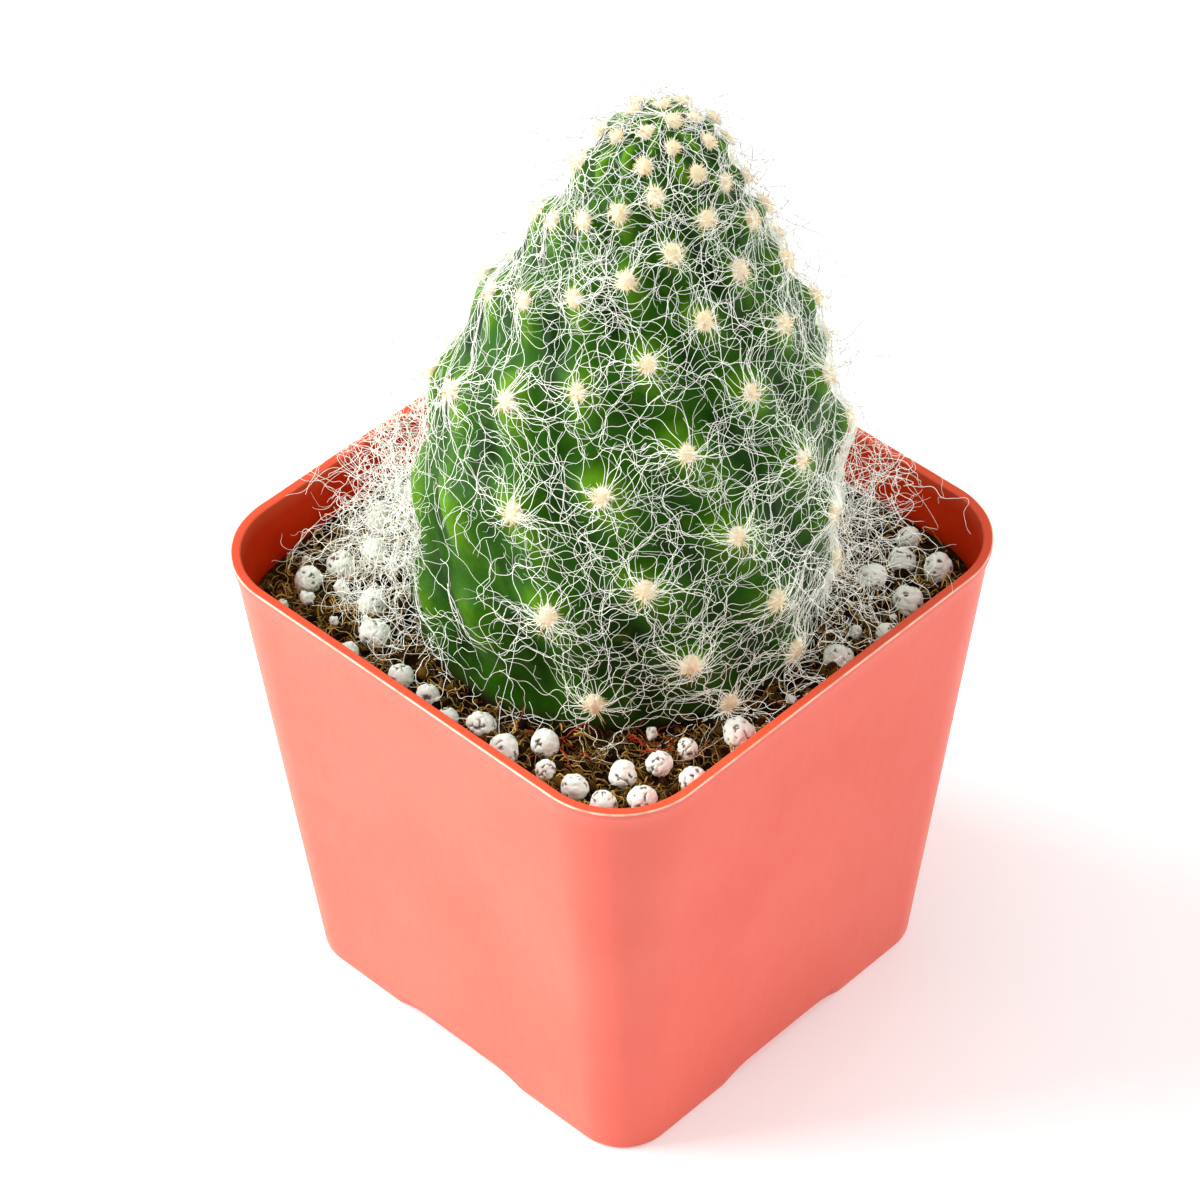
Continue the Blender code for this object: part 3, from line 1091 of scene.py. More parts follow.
    def build(self) -> bpy.types.Mesh:
        """Model the stem with its buried root.

        Returns:
            The mesh, with "crest" and "buried" stored on it.
        """
        crowding = 0.85
        around = np.arange(self.columns) / self.columns * TURN
        foot = self.plain_radius(0.0)
        rings = [self.centre(-self.root_depth)[None, :]]
        crests, buried = [0.0], [1.0]
        outline = [(self.root_radius * 0.5, self.root_depth)]
        for step in range(self.root_rows, 0, -1):
            bend = step / self.root_rows * TURN / 4.0
            outline.append((self.root_radius + (foot - self.root_radius) * math.cos(bend),
                            self.root_shoulder * math.sin(bend)))
        for radius, depth in outline:
            rings.append(self.centre(-depth) + level(around, radius))
            crests.append(0.0)
            buried.append(1.0)
        for step in range(self.rows):
            rise = math.sin(step / self.rows * TURN / 4.0) ** crowding
            height = self.height * rise
            radius, crest = self.relief(around, height)
            rings.append(self.centre(height) + level(around, radius))
            crests.append(crest)
            # The buried share fades out a short way above the soil: painted shade at the foot.
            buried.append(max(0.0, 1.0 - height / self.foot_shade_height))
        rings.append(self.centre(self.height)[None, :])
        crests.append(0.5)
        buried.append(0.0)
        return skin_over(rings, crest=crests, buried=buried)

    def dress(self) -> None:
        """Build the stem and put it in place of its CAD node."""
        finish_piece("cactus_stem", self.build(), StemSkin().material(), Slot.STEM, "stem")


# ---------------------------------------------------------------- areoles


@dataclass
class Areoles:
    """Cream felt tufts with a few amber spines on every areole."""

    stem: CactusStem
    reach: float = 1.15 * MM
    hairs: int = 130
    hair_radius: float = 0.062 * MM
    hair_tip: float = 0.25
    hair_tilt: float = math.radians(88.0)
    hair_droop: float = 0.12
    core: float = 0.95 * MM
    core_lift: float = 0.2 * MM
    core_tone: float = 0.55
    tall: float = 1.25
    flat: float = 0.75
    spines: int = 4
    spine_radius: float = 0.065 * MM
    spine_tip: float = 0.12
    spine_lift: float = 0.3 * MM
    spine_bend: float = 0.12
    spine_lengths: Pair = (1.3 * MM, 2.6 * MM)
    spine_tilts: Pair = (25.0, 75.0)
    seed: int = 11

    def dress(self) -> None:
        """Build tufts and spines as three pieces."""
        rng = np.random.default_rng(self.seed)
        areoles = self.stem.areoles()
        finish_piece("areole_cores", self._cores(areoles), FELT.material(), Slot.STEM)
        half = len(areoles) // 2
        for number, group in enumerate((areoles[:half], areoles[half:])):
            tufts = Bundle()
            for areole in group:
                self._tuft(tufts, areole, rng)
            finish_piece(f"areole_tufts_{number + 1}", tufts.build(), FELT.material(), Slot.STEM)
        spines = Bundle()
        for areole in areoles:
            self._spines(spines, areole, rng)
        finish_piece("areole_spines", spines.build(), SPINE.material(), Slot.STEM)

    def _cores(self, areoles: Sequence[Areole]) -> bpy.types.Mesh:
        """A small flattened cushion under every tuft.

        Args:
            areoles: where they sit.

        Returns:
            The mesh, with "tone" stored on it.
        """
        bm = bmesh.new()
        for areole in areoles:
            ball = bmesh.ops.create_icosphere(bm, subdivisions=2, radius=self.core * areole.size)
            turn = areole.normal.to_track_quat("Z", "Y").to_matrix()
            for vert in ball["verts"]:
                pressed = Vector((vert.co.x, vert.co.y * self.tall, vert.co.z * self.flat))
                vert.co = turn @ pressed + areole.place + areole.normal * self.core_lift
        mesh = mesh_from(bm)
        store(mesh, "tone", np.full(len(mesh.vertices), self.core_tone))
        return mesh

    def _tuft(self, bundle: Bundle, areole: Areole, rng: Rng) -> None:
        """Short straight hairs that burst from one areole.

        Args:
            bundle: where they go.
            areole: where they grow.
            rng: the random draws.
        """
        normal = np.array(areole.normal)
        root = np.array(areole.place)
        for _ in range(self.hairs):
            spread = rng.normal(size=3)
            spread -= normal * (spread @ normal)
            spread /= np.linalg.norm(spread)
            tilt = rng.uniform(0.0, 1.0) ** 0.6 * self.hair_tilt
            way = normal * math.cos(tilt) + spread * math.sin(tilt)
            length = self.reach * areole.size * rng.uniform(0.8, 1.25)
            start = root + spread * rng.uniform(0.0, 0.35) * MM
            droop = spread * self.hair_droop * length
            path = np.array([start, start + way * length * 0.55,
                             start + way * length + droop])
            tone = rng.uniform(0.45, 1.0)
            bundle.add(path, self.hair_radius * rng.uniform(0.8, 1.3), self.hair_tip, tone)

    def _spines(self, bundle: Bundle, areole: Areole, rng: Rng) -> None:
        """A few stiff spines, most of them leaning down.

        Args:
            bundle: where they go.
            areole: where they grow.
            rng: the random draws.
        """
        normal = np.array(areole.normal)
        down = np.array((0.0, 0.0, -1.0)) + normal * normal[2]
        down /= np.linalg.norm(down) + TINY
        side = np.cross(normal, down)
        for _ in range(int(rng.integers(2, self.spines + 2))):
            swing = rng.normal(0.0, 0.9)
            tilt = math.radians(rng.uniform(*self.spine_tilts))
            flat = down * math.cos(swing) + side * math.sin(swing)
            way = normal * math.cos(tilt) + flat * math.sin(tilt)
            length = rng.uniform(*self.spine_lengths) * areole.size
            root = np.array(areole.place) + normal * self.spine_lift
            steps = np.linspace(0.0, 1.0, 5)[:, None]
            path = root + way * length * steps + flat * self.spine_bend * length * steps**2
            bundle.add(path, self.spine_radius * rng.uniform(0.7, 1.1), self.spine_tip,
                       rng.uniform(0.1, 1.0))


# ---------------------------------------------------------------- wool


@dataclass(frozen=True)
class Growth:
    """How one kind of wool grows: how many, how long, how wavy and how far off the skin."""

    count: int
    shortest: float
    longest: float
    steps: int
    waver: float
    lift: float
    radius: float
    tip: float = 0.45


@dataclass
class Wool:
    """Cobweb of white hairs that start in the areoles and wander over the ribs and the soil."""

    stem: CactusStem
    pot: NurseryPot
    rays: Growth = Growth(12, 1.6 * MM, 5.0 * MM, 10, 0.6, 0.5 * MM, 0.045 * MM)
    webs: Growth = Growth(24, 6.0 * MM, 24.0 * MM, 44, 1.0, 0.9 * MM, 0.040 * MM)
    loose: Growth = Growth(6, 6.0 * MM, 15.0 * MM, 36, 1.3, 2.0 * MM, 0.042 * MM)
    low: Growth = Growth(230, 5.0 * MM, 15.0 * MM, 34, 1.1, 0.8 * MM, 0.038 * MM)
    wisps: Growth = Growth(11, 4.0 * MM, 13.0 * MM, 24, 1.7, 9.0 * MM, 0.034 * MM)
    arcs: Growth = Growth(1, 12.0 * MM, 24.0 * MM, 22, 0.45, 9.0 * MM, 0.040 * MM)
    mats: Growth = Growth(700, 5.0 * MM, 14.0 * MM, 34, 1.5, 7.0 * MM, 0.035 * MM)
    swings: tuple[float, ...] = (0.8, 0.52, 0.25)
    waves: tuple[float, ...] = (0.28 / MM, 0.95 / MM, 2.6 / MM)
    mat_places: tuple[tuple[float, float], ...] = (
        (math.radians(-147.0), 1.0), (math.radians(47.0), 0.5))
    mat_spread: float = math.radians(24.0)
    mat_height: float = 24.0 * MM
    wisp_start: float = 14.0 * MM
    follow: float = 0.75
    low_height: float = 30.0 * MM
    low_rooted: float = 0.3 * MM
    rooted: float = 0.7 * MM
    herds: int = 4
    herd_share: float = 0.45
    herd_spread: float = 0.18
    top_share: float = 0.995
    sparsest: float = 0.12
    crowding: float = 0.85
    drift: float = 0.07 / MM
    rise: float = 3.0 * MM
    closest: float = 0.2 * MM
    narrowest: float = 1.5 * MM
    over_soil: float = 0.4 * MM
    off_wall: float = 0.5 * MM
    climb: float = 5.0 * MM
    foot_lift: float = 0.35 * MM
    curling: float = 0.6
    mat_sag: float = 0.05
    root_ring: float = 0.85 * MM
    top_limit: float = 129.0 * MM
    side_limit: float = 42.0 * MM
    groups: int = 6
    seed: int = 5

    def dress(self) -> None:
        """Build the wool, a few ribs to a piece, and the mats at the foot."""
        rng = np.random.default_rng(self.seed)
        areoles = self.stem.areoles()
        material = WOOL.material()
        for group in range(self.groups):
            bundle = Bundle()
            for areole in areoles[group::self.groups]:
                self._grow_from(bundle, areole, rng)
            finish_piece(f"wool_{group + 1}", bundle.build(), material, Slot.STEM)
        bundle, count = Bundle(), self.low.count
        starts = np.column_stack((rng.uniform(0.0, TURN, count),
                                  rng.uniform(0.0, 1.0, count) ** 1.5 * self.low_height))
        headings = rng.uniform(0.0, TURN, count)
        self._walk(bundle, self.low, starts, headings, rng, self.low_rooted)
        finish_piece("wool_low", bundle.build(), material, Slot.STEM)
        upper = [areole for areole in areoles if areole.height > self.wisp_start]
        # The stray wisps take the greyer copy of the wool, painted shade.
        grey = WISP.material()
        for number in range(2):
            wisps = Bundle()
            for areole in upper[number::2]:
                self._stray(wisps, self.wisps, areole, rng)
                self._stray(wisps, self.arcs, areole, rng)
            finish_piece(f"wool_wisps_{number + 1}", wisps.build(), grey, Slot.STEM)
        for number, (bearing, share) in enumerate(self.mat_places):
            bundle = Bundle()
            self._mat(bundle, bearing, share, rng)
            finish_piece(f"wool_mat_{number + 1}", bundle.build(), material, Slot.STEM)

    def _grow_from(self, bundle: Bundle, areole: Areole, rng: Rng) -> None:
        """Grow all the hairs of one areole.

        Args:
            bundle: where they go.
            areole: where they grow.
            rng: the random draws.
        """
        wide = float(self.stem.plain_radius(areole.height)) / self.stem.radius
        apart = 1.0 - (areole.height / self.stem.areole_reach) ** 2
        crowd = max(self.sparsest, (wide * apart) ** self.crowding)
        tip = areole.height > self.stem.height * self.stem.tip_start
        for kind in (self.rays,) if tip else (self.rays, self.webs, self.loose):
            count = max(2, round(kind.count * crowd * rng.uniform(0.75, 1.25)))
            headings = rng.uniform(0.0, TURN, count)
            if kind is self.webs:
                favoured = rng.uniform(0.0, TURN, self.herds)
                herd = rng.random(count) < self.herd_share
                near = rng.choice(favoured, count) + rng.normal(0.0, self.herd_spread, count)
                headings = np.where(herd, near, headings)
            out = self.root_ring * areole.size * rng.uniform(0.6, 1.1, count)
            starts = np.column_stack((
                areole.bearing + out * np.cos(headings) / max(wide * self.stem.radius, MM),
                areole.height + out * np.sin(headings)))
            self._walk(bundle, kind, starts, headings, rng, self.rooted)

    def _walk(self, bundle: Bundle, kind: Growth, starts: Place, headings: Place,
              rng: Rng, rooted: float) -> None:
        """Let hairs wander over the skin.

        Args:
            bundle: where they go.
            kind: how they grow.
            starts: bearing and height of each root.
            headings: first heading of each, 0 round the stem and a quarter turn up it.
            rng: the random draws.
            rooted: how far off the skin the roots are.
        """
        count = len(starts)
        length = rng.uniform(kind.shortest, kind.longest, count)
        step = length / kind.steps
        waves = np.array(self.waves)[:, None] * rng.uniform(0.6, 1.5, (3, count))
        swings = np.array(self.swings)[:, None] * rng.uniform(0.5, 1.4, (3, count)) * kind.waver
        phases = rng.uniform(0.0, TURN, (3, count))
        swung = (swings * np.sin(phases)).sum(axis=0)
        drift = rng.normal(0.0, self.drift, count)
        top = self.stem.height * self.top_share
        bearing, height = starts[:, 0].copy(), starts[:, 1].copy()
        heading = headings.copy()
        high = kind.lift * rng.uniform(0.15, 1.0, count)
        bounce = rng.uniform(0.15, 0.5, count) / MM
        lift_phase = rng.uniform(0.0, TURN, count)
        path = np.empty((kind.steps + 1, count, 3))
        for index in range(kind.steps + 1):
            along = index * step
            grown = np.minimum(along / self.rise, 1.0)
            swing = 0.5 + 0.5 * np.sin(bounce * along + lift_phase)
            lift = rooted * (1.0 - grown) + grown * (self.closest + high * swing)
            path[index] = self._spot(bearing, height, lift)
            turned = (swings * np.sin(waves * (along + step) + phases)).sum(axis=0)
            heading += turned - swung + drift * step
            swung = turned
            radius = np.maximum(self.stem.plain_radius(height), self.narrowest)
            slope = np.where(height > 0.0, self.stem.slope(height), 0.0)
            across = step * np.cos(heading) / radius
            steep = np.sqrt(1.0 + slope**2)
            height += step * np.sin(heading) / steep
            bearing += across
            heading += across * slope / steep
            over = height > top
            height = np.where(over, 2.0 * top - height, height)
            bearing = np.where(over, bearing + math.pi, bearing)
            heading = np.where(over, -heading, heading)
        for number in range(count):
            bundle.add(path[:, number], kind.radius * rng.uniform(0.7, 1.15), kind.tip,
                       rng.uniform(0.2, 1.0))

    def _spot(self, bearing: Place, height: Place, lift: Place) -> Place:
        """Places over the skin, or past its foot over the soil and up the pot's wall.

        Args:
            bearing: bearings from the stem's middle.
            height: heights above the soil; below 0, how far past the foot.
            lift: how far the places stand off the skin.

        Returns:
            The places.
        """
        above = np.maximum(height, 0.0)
        place = self.stem.on_skin(bearing, above, lift, self.follow)
        out = np.maximum(-height, 0.0)
        outward = level(bearing, 1.0)
        inner = self.pot.soil_half - self.pot.wall - self.off_wall
        foot = place + outward * out[..., None]
        reach = np.max(np.abs(foot[..., :2]), axis=-1)
        excess = np.maximum(reach - inner, 0.0) * (out > 0.0)
        foot = place + outward * np.maximum(out - excess, 0.0)[..., None]
        climb = np.minimum(excess, self.climb)
        foot[..., 2] += np.where(out > 0.0, climb, 0.0)
        foot[..., 2] = np.maximum(foot[..., 2], self.stem.soil_level + self.foot_lift)
        return foot

    def _stray(self, bundle: Bundle, kind: Growth, areole: Areole,
               rng: Rng) -> None:
        """Pale hairs that stand away from the stem and curl in the air.

        Args:
            bundle: where they go.
            kind: how they grow.
            areole: what they grow near.
            rng: the random draws.
        """
        normal = np.array(areole.normal)
        highest = self.stem.height * 0.99
        for _ in range(kind.count):
            bearing = areole.bearing + rng.normal(0.0, 0.16)
            height = min(areole.height + rng.normal(0.0, 2.5) * MM, highest)
            root = self.stem.on_skin(bearing, height, rng.uniform(0.2, 1.5) * MM)
            way = normal * rng.uniform(0.2, 0.9) + rng.normal(0.0, 0.6, 3)
            self._curl(bundle, kind, root, way, rng)

    def _curl(self, bundle: Bundle, kind: Growth, root: Place, way: Place,
              rng: Rng, sag: float = 0.0) -> None:
        """Grow one hair through the air, kept inside the limits and above the soil.

        Args:
            bundle: where it goes.
            kind: how it grows.
            root: where it starts.
            way: its first direction.
            rng: the random draws.
            sag: how fast it turns down, for each millimetre.
        """
        way = way / np.linalg.norm(way)
        length = rng.uniform(kind.shortest, kind.longest)
        step = length / kind.steps
        waves = np.array(self.waves) * rng.uniform(0.6, 1.5, 3)
        axis = rng.normal(size=(3, 3)) * (np.array(self.swings) * waves)[:, None] * self.curling
        phases = rng.uniform(0.0, TURN, 3)
        place, path = root.copy(), [root.copy()]
        for index in range(kind.steps):
            turn = (axis * np.sin(waves * index * step + phases)[:, None]).sum(axis=0)
            way = way + np.cross(turn, way) * (kind.waver * step)
            way[2] -= sag * step / MM
            way = way / np.linalg.norm(way)
            place = place + way * step
            path.append(place)
        points = np.array(path)
        points[:, 2] = np.maximum(points[:, 2], self.stem.soil_level + self.over_soil)
        room = self.pot.half_width(points[:, 2]) - self.pot.wall - self.over_soil
        if points[:, 2].min() < self.pot.height:
            points[:, :2] = np.clip(points[:, :2], -room[:, None], room[:, None])
        shift = points - root
        over = max(1.0, (points[:, 2].max() - root[2]) / (self.top_limit - root[2]),
                   np.abs(points[:, :2]).max() / self.side_limit)
        bundle.add(root + shift / over, kind.radius * rng.uniform(0.7, 1.2), kind.tip,
                   rng.uniform(0.6, 1.0))

    def _mat(self, bundle: Bundle, middle: float, share: float,
             rng: Rng) -> None:
        """A dense mat that hangs from one flank of the stem over the soil to the wall.

        Args:
            bundle: where it goes.
            middle: its middle's bearing from the stem.
            share: how much of the full count it has.
            rng: the random draws.
        """
        kind = self.mats
        for _ in range(round(kind.count * share)):
            bearing = middle + rng.normal(0.0, self.mat_spread)
            height = self.mat_height * rng.uniform(0.0, 1.0) ** 1.4
            off = kind.lift * rng.uniform(0.0, 1.0) ** 1.3
            root = self.stem.on_skin(bearing, height, off)
            normal = self.stem.facing(bearing, height)
            way = normal * rng.uniform(-0.1, 0.5) + rng.normal(0.0, 0.7, 3)
            self._curl(bundle, kind, root, way, rng, self.mat_sag)


# ---------------------------------------------------------------- soil


@dataclass
class PottingSoil:
    """Bed of damp peat with crumbs, coir fibres and small perlite chips on it."""

    pot: NurseryPot
    stem: CactusStem
    clearance: float = 0.3 * MM
    ring_width: float = 6.9 * MM
    roll: float = 0.5 * MM
    roll_length: float = 16.0 * MM
    lump: float = 1.25 * MM
    socket_gap: float = 0.1 * MM
    socket_rows: int = 8
    calm_rows: float = 3.0
    coir_sizes: tuple[Pair, Pair] = ((2.0, 8.5), (0.03, 0.07))
    tangle_sizes: tuple[Pair, Pair] = ((0.9, 4.0), (0.045, 0.12))
    rust_sizes: tuple[Pair, Pair] = ((2.0, 7.0), (0.06, 0.12))
    rust_bearings: Pair = (-80.0, -25.0)
    crumb_sizes: Pair = (0.25 * MM, 0.85 * MM)
    chip_sizes: Pair = (0.3 * MM, 0.95 * MM)
    bead_room: float = 1.9 * MM
    rows: int = 62
    crumbs: int = 320
    chips: int = 40
    tangles: int = 2300
    fibres: int = 420
    rusty: int = 16
    proud_every: int = 7
    seed: int = 23

    def surface(self, x: Place, y: Place) -> Place:
        """Height of the bed's low rolls.

        Args:
            x: places across the pot.
            y: places across the pot.

        Returns:
            The heights.
        """
        from_stem = np.hypot(x - self.stem.base[0], y - self.stem.base[1]) - self.stem.radius
        calm = np.clip(from_stem / self.ring_width, 0.0, 1.0)
        along = TURN / self.roll_length
        wave = np.sin(x * along + 0.6) * np.cos(y * along - 0.4)
        return self.pot.soil_level + self.roll * calm * wave

    def build(self) -> bpy.types.Mesh:
        """Model the bed, with a socket for the root.

        Returns:
            The mesh, with "relief" stored on it.
        """
        inset = self.pot.wall + self.clearance
        floor = self.pot.pad_height + self.pot.floor + self.clearance
        edge = self.pot.ring(inset, self.pot.soil_level)
        middle = np.array((*self.stem.base, 0.0))
        bearing = np.arctan2(edge[:, 1] - middle[1], edge[:, 0] - middle[0])
        foot = float(self.stem.plain_radius(0.0)) + self.socket_gap
        mouth = middle + level(bearing, foot)
        rings: list[Place] = [np.array([[0.0, 0.0, floor]]), self.pot.ring(inset, floor)]
        relief: list[Any] = [0.0, 0.0]
        for step in range(self.rows + 1):
            share = step / self.rows
            ring = edge * (1.0 - share) + mouth * share
            ring[:, 2] = self.surface(ring[:, 0], ring[:, 1])
            lumps = self._lumps(ring)
            calm = min(1.0, step / self.calm_rows, (self.rows - step) / self.calm_rows)
            ring[:, 2] += self.lump * lumps * calm
            rings.append(ring)
            relief.append(0.5 + 0.5 * lumps)
        for step in range(1, self.socket_rows + 1):
            bend = step / self.socket_rows * TURN / 4.0
            radius = self.stem.root_radius + (foot - self.stem.root_radius) * math.cos(bend)
            down = self.stem.root_shoulder * math.sin(bend) + self.clearance
            ring = middle + level(bearing, radius + self.clearance)
            ring[:, 2] = self.pot.soil_level - down
            rings.append(ring)
            relief.append(0.0)
        deep = self.pot.soil_level - self.stem.root_depth - 2.0 * self.clearance
        rings.append(np.array([[middle[0], middle[1], deep]]))
        relief.append(0.0)
        return skin_over(rings, relief=relief)

    def _lumps(self, places: Place) -> Place:
        """Crumbly relief of the bed.

        Args:
            places: rows of points, of which only x and y count.

        Returns:
            Numbers between about -1 and 1.
        """
        flat = places * np.array((1.0, 1.0, 0.0))
        broad = cloudy(flat, 3.4 * MM, 1.0)
        crumbs = cloudy(flat, 1.3 * MM, 4.0)
        fine = cloudy(flat, 0.55 * MM, 9.0)
        return np.clip(0.75 * broad + 0.75 * (np.abs(crumbs) * 2.0 - 0.6) + 0.35 * fine, -1.2, 1.2)

    def dress(self) -> None:
        """Build the bed and everything that lies loose on it."""
        rng = np.random.default_rng(self.seed)
        peat = Peat().material()
        finish_piece("soil_bed", self.build(), peat, Slot.SOIL, "soil")
        finish_piece("soil_crumbs", self._crumbs(rng), peat, Slot.SOIL)
        finish_piece("perlite_chips", self._chips(rng), Perlite().material(), Slot.BEAD)
        coir, rust = Bundle(), Bundle()
        for number in range(self.fibres):
            proud = number % self.proud_every == 0
            self._fibre(coir, self.spot(rng), rng, self.coir_sizes, proud)
        for _ in range(self.tangles):
            self._fibre(coir, self.spot(rng), rng, self.tangle_sizes, False)
        for _ in range(self.rusty):
            bearing = math.radians(rng.uniform(*self.rust_bearings))
            radius = self.stem.radius + rng.uniform(-0.5, 3.0) * MM
            start = (radius * math.cos(bearing), radius * math.sin(bearing))
            self._fibre(rust, start, rng, self.rust_sizes, True)
        finish_piece("coir_fibres", coir.build(), COIR.material(), Slot.SOIL)
        finish_piece("rust_fibres", rust.build(), RUST.material(), Slot.SOIL)

    def spot(self, rng: Rng) -> tuple[float, float]:
        """Pick a random place on the bed between stem and wall.

        Args:
            rng: the random draws.

        Returns:
            The place's x and y.
        """
        half = self.pot.soil_half - self.pot.wall - 0.8 * MM
        corner = self.pot.top_corner - self.pot.wall
        while True:
            x, y = rng.uniform(-half, half, 2)
            over = np.maximum(np.abs((x, y)) - (half - corner), 0.0)
            from_stem = math.hypot(x - self.stem.base[0], y - self.stem.base[1])
            if np.hypot(*over) < corner and from_stem > self.stem.radius - 0.5 * MM:
                return float(x), float(y)

    def hold(self, x: float, y: float, half: float) -> tuple[float, float]:
        """Keep a place inside the pot's round-cornered square.

        Args:
            x: the place.
            y: the place.
            half: half the square's width.

        Returns:
            The place, moved straight back if it was outside.
        """
        corner = self.pot.top_corner - self.pot.wall
        straight = half - corner
        over = np.array((max(abs(x) - straight, 0.0), max(abs(y) - straight, 0.0)))
        far = math.hypot(*over)
        over *= min(1.0, corner / max(far, TINY))
        return (math.copysign(min(abs(x), straight) + over[0], x),
                math.copysign(min(abs(y), straight) + over[1], y))

    def _crumbs(self, rng: Rng) -> bpy.types.Mesh:
        """Loose lumps of peat.

        Args:
            rng: the random draws.

        Returns:
            The mesh, with "relief" stored on it.
        """
        bm = bmesh.new()
        relief = bm.verts.layers.float.new("relief")
        for number in range(self.crumbs):
            x, y = self.spot(rng)
            size = rng.uniform(*self.crumb_sizes)
            facets = 2 if number % 3 == 0 else 1
            ball = bmesh.ops.create_icosphere(bm, subdivisions=facets, radius=1.0)
            squash = Vector(rng.uniform(0.6, 1.2, 3))
            turn = Matrix.Rotation(rng.uniform(0.0, TURN), 3, Vector(rng.normal(size=3)))
            middle = Vector((x, y, float(self.surface(x, y)) + size * rng.uniform(0.0, 0.7)))
            pale = rng.uniform(0.1, 0.95)
            for vert in ball["verts"]:
                lump = 1.0 + 0.35 * noise.noise(vert.co * 1.9 + Vector((number, 0.0, 0.0)))
                vert.co = turn @ (vert.co * squash) * (size * lump) + middle
                vert[relief] = pale
        return mesh_from(bm)

    def _chips(self, rng: Rng) -> bpy.types.Mesh:
        """Small broken bits of perlite, clear of the beads.

        Args:
            rng: the random draws.

        Returns:
            The mesh, with "pit" stored on it.
        """
        bm = bmesh.new()
        pit = bm.verts.layers.float.new("pit")
        beads = [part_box(name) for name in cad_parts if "bead" in name]
        middles = np.array([[(low[axis] + high[axis]) / 2.0 for axis in (0, 1)]
                            for low, high in beads])
        for number in range(self.chips):
            size = rng.uniform(*self.chip_sizes)
            x, y = self.spot(rng)
            while np.hypot(middles[:, 0] - x, middles[:, 1] - y).min() < size + self.bead_room:
                x, y = self.spot(rng)
            ball = bmesh.ops.create_icosphere(bm, subdivisions=3, radius=1.0)
            squash = Vector(rng.uniform(0.6, 1.15, 3))
            middle = Vector((x, y, float(self.surface(x, y)) + size * 0.5 + 0.2 * MM))
            for vert in ball["verts"]:
                lump = noise.noise(vert.co * 1.6 + Vector((0.0, number, 0.0)))
                hole = max(0.0, noise.noise(vert.co * 3.4 + Vector((number, 0.0, 3.0))) - 0.28)
                vert.co = vert.co * squash * (size * (1.0 + 0.4 * lump - 0.8 * hole)) + middle
                # The pit share darkens the dents: painted shade.
                vert[pit] = min(1.0, hole * 4.0)
        return mesh_from(bm)

    def _fibre(self, bundle: Bundle, start: Pair, rng: Rng, sizes: tuple[Pair, Pair],
               proud: bool) -> None:
        """One curly fibre that lies on the bed.

        Args:
            bundle: where it goes.
            start: x and y of its end.
            rng: the random draws.
            sizes: shortest and longest, then thinnest and thickest radius, in millimetres.
            proud: whether it arches out of the bed.
        """
        (x, y), (lengths, radii) = start, sizes
        length = rng.uniform(*lengths) * MM
        steps = 9 if length < 3.4 * MM else 14
        heading = rng.uniform(0.0, TURN)
        bend = rng.normal(0.0, 0.5) / MM
        wave, phase = rng.uniform(0.6, 2.6) / MM, rng.uniform(0.0, TURN)
        arch = rng.uniform(0.5, 1.6) * MM if proud else rng.uniform(-0.4, 0.7) * MM
        radius = rng.uniform(*radii) * MM
        half = self.pot.soil_half - self.pot.wall - 0.7 * MM
        step = length / steps
        points = np.zeros((steps + 1, 3))
        for index in range(steps + 1):
            heading += (bend + 0.9 / MM * math.sin(wave * index * step + phase)) * step
            x, y = self.hold(x + math.cos(heading) * step, y + math.sin(heading) * step, half)
            points[index, :2] = x, y
        rise = arch * np.sin(np.linspace(0.0, math.pi, steps + 1))
        points[:, 2] = (self.surface(points[:, 0], points[:, 1]) + 0.15 * MM + rise
                        + 0.65 * self.lump * self._lumps(points))
        bundle.add(points, radius, 0.4, rng.uniform(0.0, 1.0) ** 2.0)


# ---------------------------------------------------------------- perlite beads


